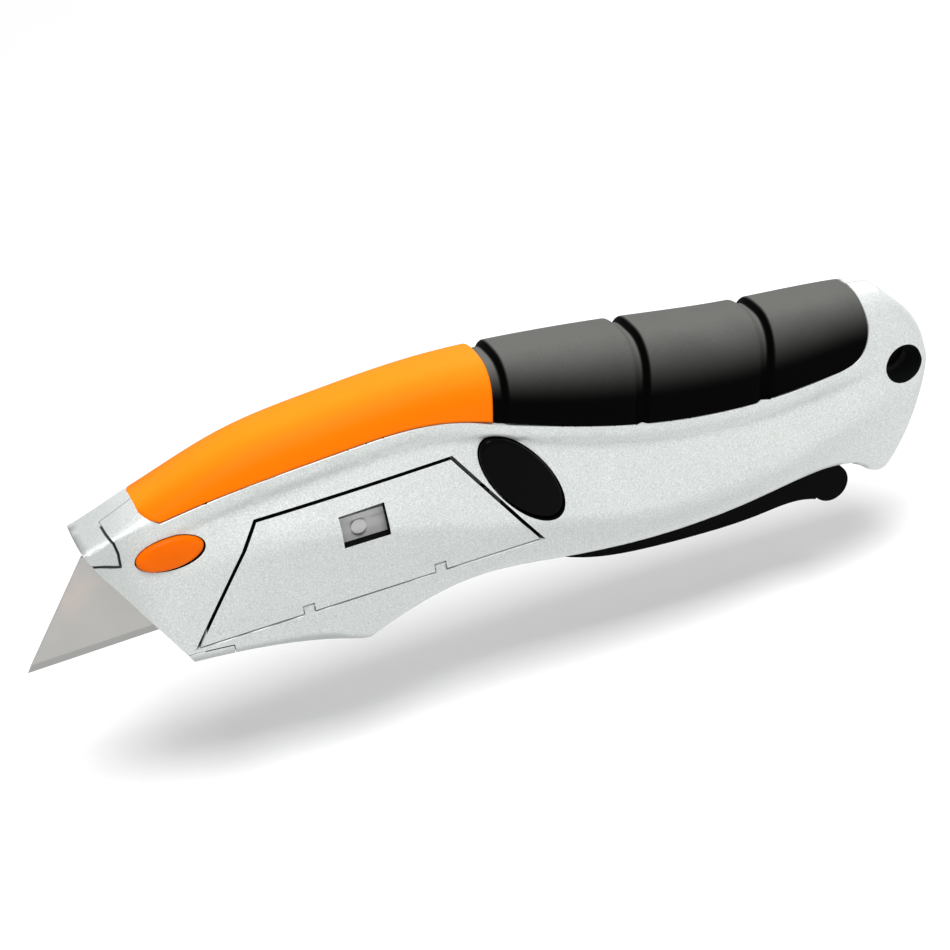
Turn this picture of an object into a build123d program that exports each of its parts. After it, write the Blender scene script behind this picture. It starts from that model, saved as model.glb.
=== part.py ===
"""Squeeze-lever utility knife, modelled as separate pieces in millimetres.

The knife is drawn with X along the blade (nose at low X, tail at high X), Y across the knife
(the door side is -Y) and Z up towards the spine. While drawing, X and Z are counted from the
blade's tip, the start of its cutting edge. At the end every piece moves together, so that the
origin lies under the middle of the knife, at the height of its lowest point.
"""
from build123d import *
import os
from math import atan2, cos, degrees, radians, sin, tan

# ---------------------------------------------------------------- blade
BLADE_LENGTH = 61.0
BLADE_WIDTH = 19.0
BLADE_THICK = 0.65
BLADE_SLANT = 14.3           # how far the short edge sets back at each end
BEVEL = 1.6                  # height of the ground edge
NOTCH = 2.6                  # width of the two locating notches in the back edge
NOTCH_PITCH = 9.0
TRAVEL = 26.0                # how far the blade draws back

# ---------------------------------------------------------------- body form
# Stations along the knife: x, top, lower border of the grip, crease of the side,
# half widths at the grip border, at the crease and at the keel line.
STATIONS = [
    (8.0, 23.4, 20.5, 12.0, 6.7, 6.7, 6.1),
    (25.0, 27.0, 24.4, 14.5, 7.3, 7.4, 6.4),
    (41.0, 32.3, 26.7, 15.0, 8.2, 8.9, 6.3),
    (60.0, 34.6, 27.8, 13.0, 8.6, 9.8, 6.2),
    (80.0, 35.1, 27.2, 6.8, 8.9, 10.0, 6.2),
    (100.0, 33.3, 20.0, 0.5, 9.2, 10.0, 6.0),
    (120.0, 30.2, 13.9, -4.0, 9.3, 9.9, 5.9),
    (140.0, 26.8, 11.1, -3.5, 9.0, 9.5, 5.9),
    (158.0, 24.9, 11.2, 0.0, 8.0, 8.4, 5.6),
    (168.0, 23.5, 11.5, 2.0, 7.2, 7.4, 5.4),
    (182.0, 20.5, 11.0, 3.0, 6.2, 6.2, 5.0),
]
KEEL = -19.0                 # height of the keel line
RIM = 2.6                    # height of the raised rim under the grips
RIM_STEP = 0.9               # how far the side steps in under the rim
RIM_RAMP = 1.4               # height over which it steps in
RIM_START = (25.0, 41.0)     # where the rim rises out of the smooth nose
RIM_END = (158.0, 168.0)     # where it fades into the tail
NOSE_ROUND = [(15.2, 25.3), (13.1, 24.5), (13.6, 23.4)]   # round of the nose's top corner
NOSE_LIP = (15.7, 18.8)
NOSE_HEEL = (28.0, -4.5)
GUARD = (61.6, -12.8)
TAIL_ROUND = [(163.2, -14.3), (165.9, -17.0), (168.2, -14.4)]   # round of the tail's low corner
TAIL_REAR = (177.6, 7.9)
TAIL_TOP = (166.9, 24.6)
TAIL_EDGE = 4.0              # radius of the tail's rear edges
BELLY = [(46.5, -7.2), (56.0, -10.2)]
KEEL_CURVE = [(69.3, -9.9), (76.0, -8.1), (84.6, -7.4), (93.0, -8.4), (104.0, -10.3),
              (126.0, -11.8), (140.0, -11.0), (151.0, -10.2), (158.5, -11.3)]
TAIL_LOW = [(171.1, -10.5), (176.2, 0.1)]
TAIL_HIGH = [(175.4, 15.5), (172.0, 19.8)]
WALL = 2.0
SEAM = 0.2                   # hairline between the two shells where one wraps round the other
CAVITY_FRONT = 30.0
CAVITY_REAR = 160.5

# ---------------------------------------------------------------- grips
GRIP_THICK = 2.6
GRIP_OVERLAP = 0.4           # how far the grips reach down over the rim's upper edge
GROOVE_DEPTH = 1.4
GROOVE_WIDTH = 2.0
COLLAR_GROOVE = 2.8
GRIP_FRONT = 25.2
GRIP_JOINT = 90.3
GRIP_REAR = 164.6
PAD_PITCH = 25.4
REAR_CORNER = [(5.2, 0.3), (2.8, 1.15), (1.1, 3.0), (0.1, 7.5), (0.3, 14.0)]   # inset and rise
GRIP_LEAN = 9.0              # degrees that the grip's end faces lean to the rear

# ---------------------------------------------------------------- side door
SPARE_X = 31.5               # tip of the spare blades
SPARE_END = SPARE_X + BLADE_LENGTH
DOOR_FRONT_LOW = SPARE_X - 2.9
DOOR_FRONT_HIGH = DOOR_FRONT_LOW + 15.2
DOOR_REAR_LOW = SPARE_END + 2.7
DOOR_REAR_HIGH = DOOR_REAR_LOW - 14.3
DOOR_LOW = -2.2
DOOR_HIGH = BLADE_WIDTH + 1.0
DOOR_GAP = 0.65
DOOR_HINGE_GAP = 0.15
DOOR_WALL = 2.0
HINGE_INSET = 0.8            # hinge axis to the outer face
HINGE_RISE = 1.2             # hinge axis above the lower edge of the opening
HINGE_PIN = 0.4
HINGE_LUGS = (50.0, SPARE_END - 17.5)
HINGE_LUG_WIDTH = 1.8
HEEL_STEP = 0.8              # heel block's top below the door's lower edge
HINGE_START = 44.0
HINGE_END = SPARE_END - 11.5
WINDOW = (58.3, 66.9, 9.4, 15.8)
SPARE_Z = -0.7
SPARE_NEAR = -5.0
SPARE_COUNT = 2
TRAY_FOOT = (45.0, SPARE_END - 12.5)   # where the tray reaches down under the spare blades
TRAY_CORNER = 4.5

# ---------------------------------------------------------------- mechanism
RUNNING = 0.05               # radial clearance of a pin in its bore
SLIDING = 0.15               # clearance of a sliding piece
PLATE_NEAR = 0.36            # near face of the carriage plate
PLATE_FAR = 1.96
ARM_NEAR = 2.2
ARM_FAR = 4.0
CARRIAGE_LOW = -1.3
CARRIAGE_HIGH = BLADE_WIDTH + 1.2
LEVER_PIVOT = (SPARE_END - 1.5, -4.4)
LEVER_RANGE = 16.0
LEVER_HALF = 5.2
LEVER_KNUCKLE = 2.4
LEVER_TOP = -8.4
LEVER_KEEL = [(0.2044, -11.7), (0.3726, -13.9), (0.566, -15.0), (0.7547, -15.2), (0.8962, -15.1),
              (0.9465, -16.0)]   # share of the way from pivot to bulb, and height
BULB = (154.6, -13.6)
BULB_RADIUS = 3.8
PIN_RADIUS = 1.5
ARM_PIVOT = (SPARE_END + 12.9, -5.0)
ARM_RANGE = 60.0
ARM_LENGTH = TRAVEL / (2.0 * sin(radians(ARM_RANGE / 2.0)))
CRANK_LENGTH = 5.6
CRANK_PIN = 1.2
FORK_PLAY = 0.4              # play of the drive pin in the fork, which opens the linkage
CRANK_PLAY = 0.3             # play of the crank pin in the lever's slot
SPRING_X = 135.0
SPRING_RADIUS = 2.6
SPRING_WIRE = 0.4
SPRING_TURNS = 6
SPRING_SEAT = 5.0

# ---------------------------------------------------------------- buttons, cord hole and screws
BUTTON_AT = (28.4, 18.4)
BUTTON_LENGTH = 12.2
BUTTON_HEIGHT = 5.9
BUTTON_PROUD = 1.0
BUTTON_TRAVEL = 1.5
BUTTON_FLOOR = -2.4
BUTTON_STEM = 1.1
BUTTON_COIL = 1.7            # mean radius of the button's spring
BUTTON_WIRE = 0.2
BUTTON_COIL_LENGTH = 2.0     # its length with the button pressed, which is how it is drawn
BUTTON_BACK = 0.6            # what is left behind the pressed button
LOCK_AT = (SPARE_END + 0.2, 11.4)
LOCK_LENGTH = 22.0
LOCK_WIDTH = 9.5
LOCK_TILT = -58.0
LOCK_ROD = (SPARE_END + 0.5, 6.5)
LOCK_ROD_RADIUS = 1.3
LOCK_NECK = 0.8
LOCK_TRAVEL = 2.0
LOCK_PROUD = 0.5
CORD_HOLE = (171.3, 7.6)
CORD_HOLE_RADIUS = 3.8
SCREWS = [(44.0, 23.4), (80.0, 23.4), (148.0, 5.0), (164.0, -8.0)]
SCREW_RADIUS = 1.25
SCREW_HEAD = 2.3
SCREW_SEAT = 5.0
BOSS_RADIUS = 2.6
FAR = 30.0                   # a reach beyond the knife's outside, for cutting tools


# ---------------------------------------------------------------- basic shapes
def box(x0, x1, y0, y1, z0, z1):
    """Block between three pairs of planes."""
    return Solid.make_box(x1 - x0, y1 - y0, z1 - z0, Plane((x0, y0, z0)))


def rod(centre, radius, y0, y1):
    """Round bar across the knife, between two values of Y."""
    x, z = centre
    return Solid.make_cylinder(radius, y1 - y0, Plane((x, y0, z), z_dir=(0, 1, 0)))


def across(edges, y0, y1):
    """Outline in the XZ plane, given as edges at Y = 0, swept from y0 to y1."""
    face = Face(Wire(edges))
    swept = Solid.extrude(face, Vector(0, y1 - y0, 0))
    return swept.moved(Location((0, y0, 0)))


def chain(points):
    """Straight edges from point to point, closed, in the XZ plane."""
    corners = [Vector(x, 0, z) for x, z in points]
    return [Edge.make_line(a, b) for a, b in zip(corners, corners[1:] + corners[:1])]


def plate(points, y0, y1):
    """Flat plate with straight sides across the knife."""
    return across(chain(points), y0, y1)


def curve(points):
    """Smooth edge through points in the XZ plane."""
    return Edge.make_spline([Vector(x, 0, z) for x, z in points])


def line(a, b):
    """Straight edge between two points in the XZ plane."""
    return Edge.make_line(Vector(a[0], 0, a[1]), Vector(b[0], 0, b[1]))


def slot(centre, length, width, tilt, y0, y1):
    """Bar with round ends, its length over the ends, tilted from the X axis."""
    x, z = centre
    radius = width / 2.0
    reach = length / 2.0 - radius
    dx = reach * cos(radians(tilt))
    dz = reach * sin(radians(tilt))
    nx = -radius * sin(radians(tilt))
    nz = radius * cos(radians(tilt))
    flat = plate([(x - dx + nx, z - dz + nz), (x + dx + nx, z + dz + nz),
                  (x + dx - nx, z + dz - nz), (x - dx - nx, z - dz - nz)], y0, y1)
    return flat + rod((x - dx, z - dz), radius, y0, y1) + rod((x + dx, z + dz), radius, y0, y1)


def oval(centre, length, width, tilt, y0, y1):
    """Elliptical bar across the knife."""
    x, z = centre
    along = Vector(cos(radians(tilt)), 0, sin(radians(tilt)))
    plane = Plane((x, y0, z), x_dir=along, z_dir=(0, 1, 0))
    face = Face(Wire([Edge.make_ellipse(length / 2.0, width / 2.0, plane)]))
    return Solid.extrude(face, Vector(0, y1 - y0, 0))


def turned(point, pivot, degrees_down):
    """Place of a point after the rear end turns down about a pivot, in the XZ plane."""
    x = point[0] - pivot[0]
    z = point[1] - pivot[1]
    a = radians(degrees_down)
    return (pivot[0] + x * cos(a) + z * sin(a), pivot[1] - x * sin(a) + z * cos(a))


def between(x, column):
    """Value of one column of the stations at x, on straight lines between them."""
    for low, high in zip(STATIONS, STATIONS[1:]):
        if x <= high[0]:
            share = (x - low[0]) / (high[0] - low[0])
            return low[column] + share * (high[column] - low[column])
    return STATIONS[-1][column]


def side_half_width(x, z):
    """Half width of the body's side below its crease."""
    crease = between(x, 3)
    share = (z - KEEL) / (crease - KEEL)
    return between(x, 6) + share * (between(x, 5) - between(x, 6))


def rim_step(x):
    """How far the side steps in under the rim at x."""
    rise = (x - RIM_START[0]) / (RIM_START[1] - RIM_START[0])
    fade = (RIM_END[1] - x) / (RIM_END[1] - RIM_END[0])
    return RIM_STEP * max(0.05, min(1.0, rise, fade))


# ---------------------------------------------------------------- body form
def outer_section(station, inset):
    """Closed outline of the body across the knife at one station, drawn in by an inset."""
    x, top, border, crease, grip, side, keel = station
    top -= inset
    border -= 0.8 * inset
    grip -= inset
    side -= inset
    keel -= inset
    ledge = border - RIM
    crown = min(0.55, 0.1 * (top - border))
    bend = min(3.0, 0.45 * (top - border))
    half = []
    for sign in (1, -1):
        shoulder = [(0, top), (0.5 * grip, top - crown), (0.86 * grip, top - bend), (grip, border)]
        points = [Vector(x, sign * y, z) for y, z in shoulder]
        tangents = [Vector(0, sign, 0), Vector(0, 0, -1)]
        edges = [Edge.make_spline(points, tangents=tangents)]
        lower = [(grip, border), (grip, ledge), (grip - rim_step(x), ledge - RIM_RAMP), (side, crease),
                 (keel, KEEL)]
        corners = [Vector(x, sign * y, z) for y, z in lower]
        edges += [Edge.make_line(a, b) for a, b in zip(corners, corners[1:])]
        half.append(edges)
    floor = Edge.make_line(Vector(x, keel, KEEL), Vector(x, -keel, KEEL))
    return Wire(half[0] + [floor] + half[1])


def form(inset):
    """The body's whole outside as one lofted solid, drawn in by an inset."""
    return Solid.make_loft([outer_section(station, inset) for station in STATIONS])


def bend(points):
    """Round edge from the first point to the last, towards the corner between them."""
    return Edge.make_bezier(*[Vector(x, 0, z) for x, z in points])


def outline():
    """Side view of the body, open upwards, where the loft ends it."""
    sky = 60.0
    start = (NOSE_ROUND[0][0], sky)
    end = (TAIL_TOP[0] - 1.0, sky)
    edges = [
        line(start, NOSE_ROUND[0]),
        bend(NOSE_ROUND),
        line(NOSE_ROUND[-1], NOSE_LIP),
        line(NOSE_LIP, NOSE_HEEL),
        curve([NOSE_HEEL] + BELLY + [GUARD]),
        curve([GUARD] + KEEL_CURVE + [TAIL_ROUND[0]]),
        bend(TAIL_ROUND),
        curve([TAIL_ROUND[-1]] + TAIL_LOW + [TAIL_REAR] + TAIL_HIGH + [TAIL_TOP]),
        line(TAIL_TOP, end),
        line(end, start),
    ]
    return across(edges, -FAR, FAR)


def body_blank():
    """The body's whole outside, with round edges at the rear of the tail."""
    blank = form(0.0) & outline()
    edges = []
    for edge in blank.edges():
        box_of = edge.bounding_box()
        crosses = box_of.min.Y < -1.0 and box_of.max.Y > 1.0
        if box_of.min.X > TAIL_ROUND[-1][0] - 0.1 and not crosses:
            edges.append(edge)
    return blank.fillet(TAIL_EDGE, edges)


def hollow_section(station):
    """Outline of the inner space across the knife at one station."""
    x, top, border, crease, grip, side, keel = station
    roof = top - GRIP_THICK - WALL
    neck = grip - GRIP_THICK - WALL
    right = [(0, roof), (neck, roof - 0.8), (neck, border - 1.0),
             (grip - RIM_STEP - WALL, border - RIM - RIM_RAMP - 1.0), (side - WALL, crease),
             (keel - WALL, KEEL)]
    left = [(-y, z) for y, z in reversed(right[1:])]
    return Wire.make_polygon([Vector(x, y, z) for y, z in right + left], close=True)


def hollow():
    """Space inside the shells, WALL clear of the outline below."""
    space = Solid.make_loft([hollow_section(station) for station in STATIONS[1:-1]])
    floor = [NOSE_HEEL] + BELLY + [GUARD] + KEEL_CURVE
    raised = [(x, z + WALL) for x, z in floor if x < CAVITY_REAR]
    ends = [(CAVITY_REAR, raised[-1][1]), (CAVITY_REAR, FAR * 2), (CAVITY_FRONT, FAR * 2)]
    window = plate(raised + ends, -FAR, FAR)
    return space & window & box(CAVITY_FRONT, CAVITY_REAR, -FAR, FAR, -FAR, FAR * 2)


def grip_end(x, z=30.0):
    """X of a grip's leaning end face, given at the top, as a function of height."""
    return lambda height: x + (height - z) * tan(radians(GRIP_LEAN))


def band(x, width):
    """Leaning slab across the grip, whose front face stands at x on top."""
    front = grip_end(x)
    low, high = -2.0, 45.0
    return plate([(front(low), low), (front(low) + width, low), (front(high) + width, high),
                  (front(high), high)], -FAR, FAR)


def border_points(start, end):
    """Grip border in side view between two values of X."""
    places = [start] + [s[0] for s in STATIONS if start < s[0] < end] + [end]
    return [(x, between(x, 2) - GRIP_OVERLAP) for x in places]


def front_grip_zone():
    """Side view of the front grip, above its border."""
    end = grip_end(GRIP_JOINT)
    low = between(end(25.0), 2)
    start = GRIP_FRONT + 2.8
    border = border_points(start, end(low))
    edges = [
        line((GRIP_FRONT - 1.0, 45.0), (GRIP_FRONT, between(GRIP_FRONT, 1) - 0.6)),
        line((GRIP_FRONT, between(GRIP_FRONT, 1) - 0.6), border[0]),
        curve(border),
        line(border[-1], (end(45.0), 45.0)),
        line((end(45.0), 45.0), (GRIP_FRONT - 1.0, 45.0)),
    ]
    return across(edges, -FAR, FAR)


def rear_grip_zone():
    """Side view of the rear grip, above its border, with a round lower rear corner."""
    front = grip_end(GRIP_JOINT)
    start = front(between(front(25.0), 2))
    border = border_points(start, GRIP_REAR - 8.0)
    rear_low = border[-1]
    edges = [
        curve(border),
        curve([rear_low] + [(GRIP_REAR - dx, rear_low[1] + dz) for dx, dz in REAR_CORNER]),
        line((GRIP_REAR - REAR_CORNER[-1][0], rear_low[1] + REAR_CORNER[-1][1]),
             (GRIP_REAR - 1.4, 45.0)),
        line((GRIP_REAR - 1.4, 45.0), (front(45.0), 45.0)),
        line((front(45.0), 45.0), border[0]),
    ]
    return across(edges, -FAR, FAR)


def grips(outer):
    """Front grip, rear grip before its grooves are cut, and rear grip as moulded."""
    bed = form(GRIP_THICK)
    front = (outer & front_grip_zone()) - bed
    rear = (outer & rear_grip_zone()) - bed
    groove_floor = form(GROOVE_DEPTH)
    rings = band(GRIP_JOINT, COLLAR_GROOVE)
    for index in (1, 2):
        rings += band(GRIP_JOINT + COLLAR_GROOVE + index * PAD_PITCH, GROOVE_WIDTH)
    return front, rear, rear - (rings - groove_floor)


# ---------------------------------------------------------------- shells
def trapezoid(gap, foot, y0, y1):
    """The door's outline, drawn in by a gap at its sides and top and by another at its foot."""
    slant_front = (DOOR_FRONT_HIGH - DOOR_FRONT_LOW) / (DOOR_HIGH - DOOR_LOW)
    slant_rear = (DOOR_REAR_LOW - DOOR_REAR_HIGH) / (DOOR_HIGH - DOOR_LOW)
    side = 1.25 * gap
    low = DOOR_LOW + foot
    high = DOOR_HIGH - gap
    return plate([
        (DOOR_FRONT_LOW + side + slant_front * (low - DOOR_LOW), low),
        (DOOR_FRONT_LOW + side + slant_front * (high - DOOR_LOW), high),
        (DOOR_REAR_LOW - side - slant_rear * (high - DOOR_LOW), high),
        (DOOR_REAR_LOW - side - slant_rear * (low - DOOR_LOW), low),
    ], y0, y1)


def nose_cap_zone(gap):
    """Part of the nose, above the blade, where the far shell wraps round to the door side."""
    return plate([(8.0, 35.0), (8.0, 22.2 - gap), (19.6 + gap, 18.9 - gap), (19.8 + gap, 21.2),
                  (19.5 + gap, 23.4), (18.4 + gap, 25.0), (18.0 + gap, 35.0)], -FAR, 0)


def heel_zone(gap):
    """Block under the nose where the far shell wraps round to the door side."""
    front_top = DOOR_LOW - HEEL_STEP + gap
    return plate([(24.0, front_top), (DOOR_FRONT_LOW, front_top), (35.4 + gap, front_top - 0.7),
                  (35.4 + gap, -12.0), (24.0, -12.0)], -FAR, 0)


def hinge_axis():
    """A point on the door's hinge axis and its direction, along the lower edge of the opening."""
    z = DOOR_LOW + HINGE_RISE
    y0 = -(side_half_width(HINGE_START, z) - HINGE_INSET)
    y1 = -(side_half_width(HINGE_END, z) - HINGE_INSET)
    start = Vector(HINGE_START, y0, z)
    return start, (Vector(HINGE_END, y1, z) - start).normalized()


def along_hinge(radius, x0, x1):
    """Round bar on the door's hinge axis between two values of X."""
    start, direction = hinge_axis()
    foot = start + direction * ((x0 - start.X) / direction.X)
    length = (x1 - x0) / direction.X
    return Solid.make_cylinder(radius, length, Plane(foot, z_dir=direction))


def hinge_lug(x, outer):
    """Lug of the near shell that holds the hinge pin."""
    half = HINGE_LUG_WIDTH / 2.0
    start, direction = hinge_axis()
    y = start.Y + direction.Y * (x - start.X)
    reach = HINGE_INSET - SLIDING
    head = along_hinge(reach, x - half, x + half)
    stem = box(x - half, x + half, y - reach, y + reach, DOOR_LOW - 1.0, start.Z)
    return (head + stem) & outer


def bosses(outer, y0, y1):
    """Screw bosses between two values of Y, ended by the outside of the body."""
    solids = [rod(place, BOSS_RADIUS, y0, y1) for place in SCREWS[:3]]
    return [solid & outer for solid in solids]


def pivot_bosses(outer, y0, y1):
    """Bosses in a shell's wall round the lever's pin and the arm's pin."""
    solids = [rod(place, PIN_RADIUS + 1.4, y0, y1) for place in (LEVER_PIVOT, ARM_PIVOT)]
    return [solid & outer for solid in solids]


def lever_slot():
    """Opening under the handle that the lever closes into."""
    half = LEVER_HALF + 0.4
    front = LEVER_PIVOT[0] - LEVER_KNUCKLE - 0.5
    return box(front, CAVITY_REAR, -half, half, -FAR, LEVER_PIVOT[1] + LEVER_KNUCKLE + 0.4)


def blade_path():
    """Slot through the nose for the blade."""
    side = BLADE_THICK / 2.0 + 0.25
    return box(0.0, CAVITY_FRONT + 5.0, -side, side, -0.4, BLADE_WIDTH + 0.4)


def shared_cuts():
    """Cuts that go through both shells."""
    cuts = [lever_slot(), blade_path(), rod(CORD_HOLE, CORD_HOLE_RADIUS, -FAR, FAR)]
    cuts.append(oval(LOCK_AT, LOCK_LENGTH + 0.5, LOCK_WIDTH + 0.5, LOCK_TILT, -FAR, FAR))
    return cuts


def pin_holes(y0, y1):
    """Bores for the lever's pin and the arm's pin."""
    return [rod(place, PIN_RADIUS, y0, y1) for place in (LEVER_PIVOT, ARM_PIVOT)]


def near_space(space):
    """Inner space of the door side, held back from the nose block beside the blade."""
    lean = (DOOR_FRONT_HIGH - DOOR_FRONT_LOW) / (DOOR_HIGH - DOOR_LOW)
    low, high = -20.0, 45.0
    front = DOOR_FRONT_LOW - 0.6
    block = plate([(0.0, low), (front + lean * (low - DOOR_LOW), low),
                   (front + lean * (high - DOOR_LOW), high), (0.0, high)], -FAR, -1.2)
    return space - block


def left_shell(outer, mass, space):
    """Near shell: the door side, cut out for the nose cap, heel block, door and buttons."""
    shell = mass & box(0.0, 200.0, -FAR, 0.0, -FAR, FAR * 2)
    shell -= near_space(space)
    for boss in bosses(outer, -FAR, 0.0):
        shell += boss
    for boss in pivot_bosses(outer, -FAR, -LEVER_HALF - 0.2):
        shell += boss
    shell -= nose_cap_zone(SEAM)
    shell -= heel_zone(SEAM)
    shell -= trapezoid(0.0, 0.0, -FAR, -1.2)
    for x in HINGE_LUGS:
        shell += hinge_lug(x, outer)
    shell -= along_hinge(HINGE_PIN + RUNNING, HINGE_START, HINGE_END)
    shell -= oval(BUTTON_AT, BUTTON_LENGTH + 0.5, BUTTON_HEIGHT + 0.5, 0.0, -FAR, BUTTON_FLOOR)
    shell -= rod(BUTTON_AT, BUTTON_STEM + 0.2, -FAR, 1.0)
    for cut in shared_cuts() + pin_holes(-7.4, 0.0):
        shell -= cut
    for place in SCREWS:
        shell -= rod(place, SCREW_RADIUS + RUNNING, -4.8, 1.0)
    return shell


def rails(outer):
    """Rails on the far shell that guide the carriage, and the seat of the return spring."""
    front = 36.0
    rear = LEVER_PIVOT[0] - 4.5
    floor = CARRIAGE_LOW - SLIDING
    roof = CARRIAGE_HIGH + SLIDING
    low = box(front, rear + 1.0, PLATE_NEAR, FAR, floor - 1.15, floor)
    high = box(front, rear, PLATE_NEAR, FAR, roof, roof + 1.15)
    back = box(front, rear, PLATE_FAR + SLIDING, FAR, BLADE_WIDTH / 2.0 - 0.5, BLADE_WIDTH / 2.0 + 1.5)
    reach = SPRING_RADIUS + 1.4
    seat = box(SPRING_X - reach, SPRING_X + reach, -reach, FAR, SPRING_SEAT, SPRING_SEAT + 2.0)
    return [solid & outer for solid in (low, high, back, seat)]


def right_shell(outer, mass, space):
    """Far shell, with the nose cap, the heel block, the rails and the screw holes."""
    shell = mass & box(0.0, 200.0, 0.0, FAR, -FAR, FAR * 2)
    shell -= space
    wrapped = mass & box(0.0, 200.0, -FAR, 0.0, -FAR, FAR * 2)
    shell += wrapped & nose_cap_zone(0.0)
    shell += wrapped & heel_zone(0.0)
    for solid in rails(outer) + bosses(outer, 0.0, FAR):
        shell += solid
    for boss in pivot_bosses(outer, LEVER_HALF + 0.2, FAR):
        shell += boss
    for cut in shared_cuts() + pin_holes(0.0, 7.4):
        shell -= cut
    for place in SCREWS:
        shell -= rod(place, SCREW_RADIUS + RUNNING, -1.0, FAR)
        shell -= rod(place, SCREW_HEAD + 0.2, SCREW_SEAT, FAR)
    return shell


def shell_screws():
    """Screws that hold the shells together, driven from the far side."""
    screws = []
    for place in SCREWS:
        screw = rod(place, SCREW_RADIUS, -4.5, SCREW_SEAT)
        screw += rod(place, SCREW_HEAD, SCREW_SEAT, SCREW_SEAT + 1.5)
        screw -= slot(place, 3.2, 0.7, 0.0, SCREW_SEAT + 0.8, SCREW_SEAT + 2.0)
        screw -= slot(place, 3.2, 0.7, 90.0, SCREW_SEAT + 0.8, SCREW_SEAT + 2.0)
        screws.append(screw)
    return screws


# ---------------------------------------------------------------- side door
def side_door(outer, space):
    """Door in the near side, with its window, its hinge bead and the slots for the lugs."""
    blank = outer & trapezoid(DOOR_GAP, DOOR_HINGE_GAP, -FAR, -3.0)
    door = blank - space
    start, direction = hinge_axis()
    slope = direction.Y / direction.X
    x0, x1 = DOOR_FRONT_LOW - 2.0, DOOR_REAR_LOW + 2.0
    y0 = start.Y + slope * (x0 - start.X)
    y1 = start.Y + slope * (x1 - start.X)
    corner = Face(Wire.make_polygon([Vector(x0, y0, start.Z), Vector(x1, y1, start.Z),
                                     Vector(x1, -FAR, start.Z), Vector(x0, -FAR, start.Z)], close=True))
    door -= Solid.extrude(corner, Vector(0, 0, -5.0))
    door += along_hinge(HINGE_RISE - DOOR_HINGE_GAP, x0, x1) & blank
    door -= box(x0, CAVITY_FRONT + 0.8, y0, 0.0, DOOR_LOW - 1.0, DOOR_HIGH)
    door -= box(DOOR_REAR_LOW - 2.3, x1, y1, 0.0, DOOR_LOW - 1.0, DOOR_LOW + 2.4)
    for x in HINGE_LUGS:
        half = HINGE_LUG_WIDTH / 2.0 + 0.25
        door -= box(x - half, x + half, -FAR, 0.0, DOOR_LOW - 1.0, start.Z + HINGE_INSET + 0.15)
    door -= along_hinge(HINGE_PIN + RUNNING, HINGE_START, HINGE_END)
    x_low, x_high, z_low, z_high = WINDOW
    return door - box(x_low, x_high, -FAR, 0.0, z_low, z_high)


def door_hinge_pin():
    """Steel pin of the door's hinge."""
    return along_hinge(HINGE_PIN, HINGE_START, HINGE_END)


# ---------------------------------------------------------------- blades
def blade():
    """Trapezoid blade with its cutting edge along the bottom and two notches in its back."""
    half = BLADE_THICK / 2.0
    body = plate([(0.0, 0.0), (BLADE_SLANT, BLADE_WIDTH), (BLADE_LENGTH - BLADE_SLANT, BLADE_WIDTH),
                  (BLADE_LENGTH, 0.0)], -half, half)
    tip = 0.02
    wedge = Face(Wire.make_polygon([Vector(0, -tip, 0), Vector(0, tip, 0), Vector(0, half, BEVEL),
                                    Vector(0, half, BLADE_WIDTH), Vector(0, -half, BLADE_WIDTH),
                                    Vector(0, -half, BEVEL)], close=True))
    body &= Solid.extrude(wedge, Vector(BLADE_LENGTH, 0, 0))
    for sign in (-1, 1):
        place = (BLADE_LENGTH / 2.0 + sign * NOTCH_PITCH / 2.0, BLADE_WIDTH)
        body -= slot(place, 3.6, NOTCH, 90.0, -1.0, 1.0)
    return body


def beside_door(solid):
    """Turn a solid from the XZ plane until it lies along the door's hinge axis."""
    start, direction = hinge_axis()
    lean = degrees(atan2(direction.Y, direction.X))
    return solid.rotate(Axis((SPARE_X, SPARE_NEAR, 0.0), (0, 0, 1)), lean)


def spare_blades():
    """Spare blades in the tray behind the door."""
    pitch = BLADE_THICK + 0.02
    first = SPARE_NEAR + BLADE_THICK / 2.0
    stack = [blade().moved(Location((SPARE_X, first + index * pitch, SPARE_Z)))
             for index in range(SPARE_COUNT)]
    return [beside_door(spare) for spare in stack]


def tray_ring(grow, y0, y1):
    """Spare blade's outline, grown by an amount, as a plate."""
    run = 1.7 * grow
    x0, x1 = SPARE_X, SPARE_X + BLADE_LENGTH
    z0, z1 = SPARE_Z, SPARE_Z + BLADE_WIDTH
    return plate([(x0 - run, z0 - grow), (x0 + BLADE_SLANT - 0.5 * run, z1 + grow),
                  (x1 - BLADE_SLANT + 0.5 * run, z1 + grow), (x1 + run, z0 - grow)], y0, y1)


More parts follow.
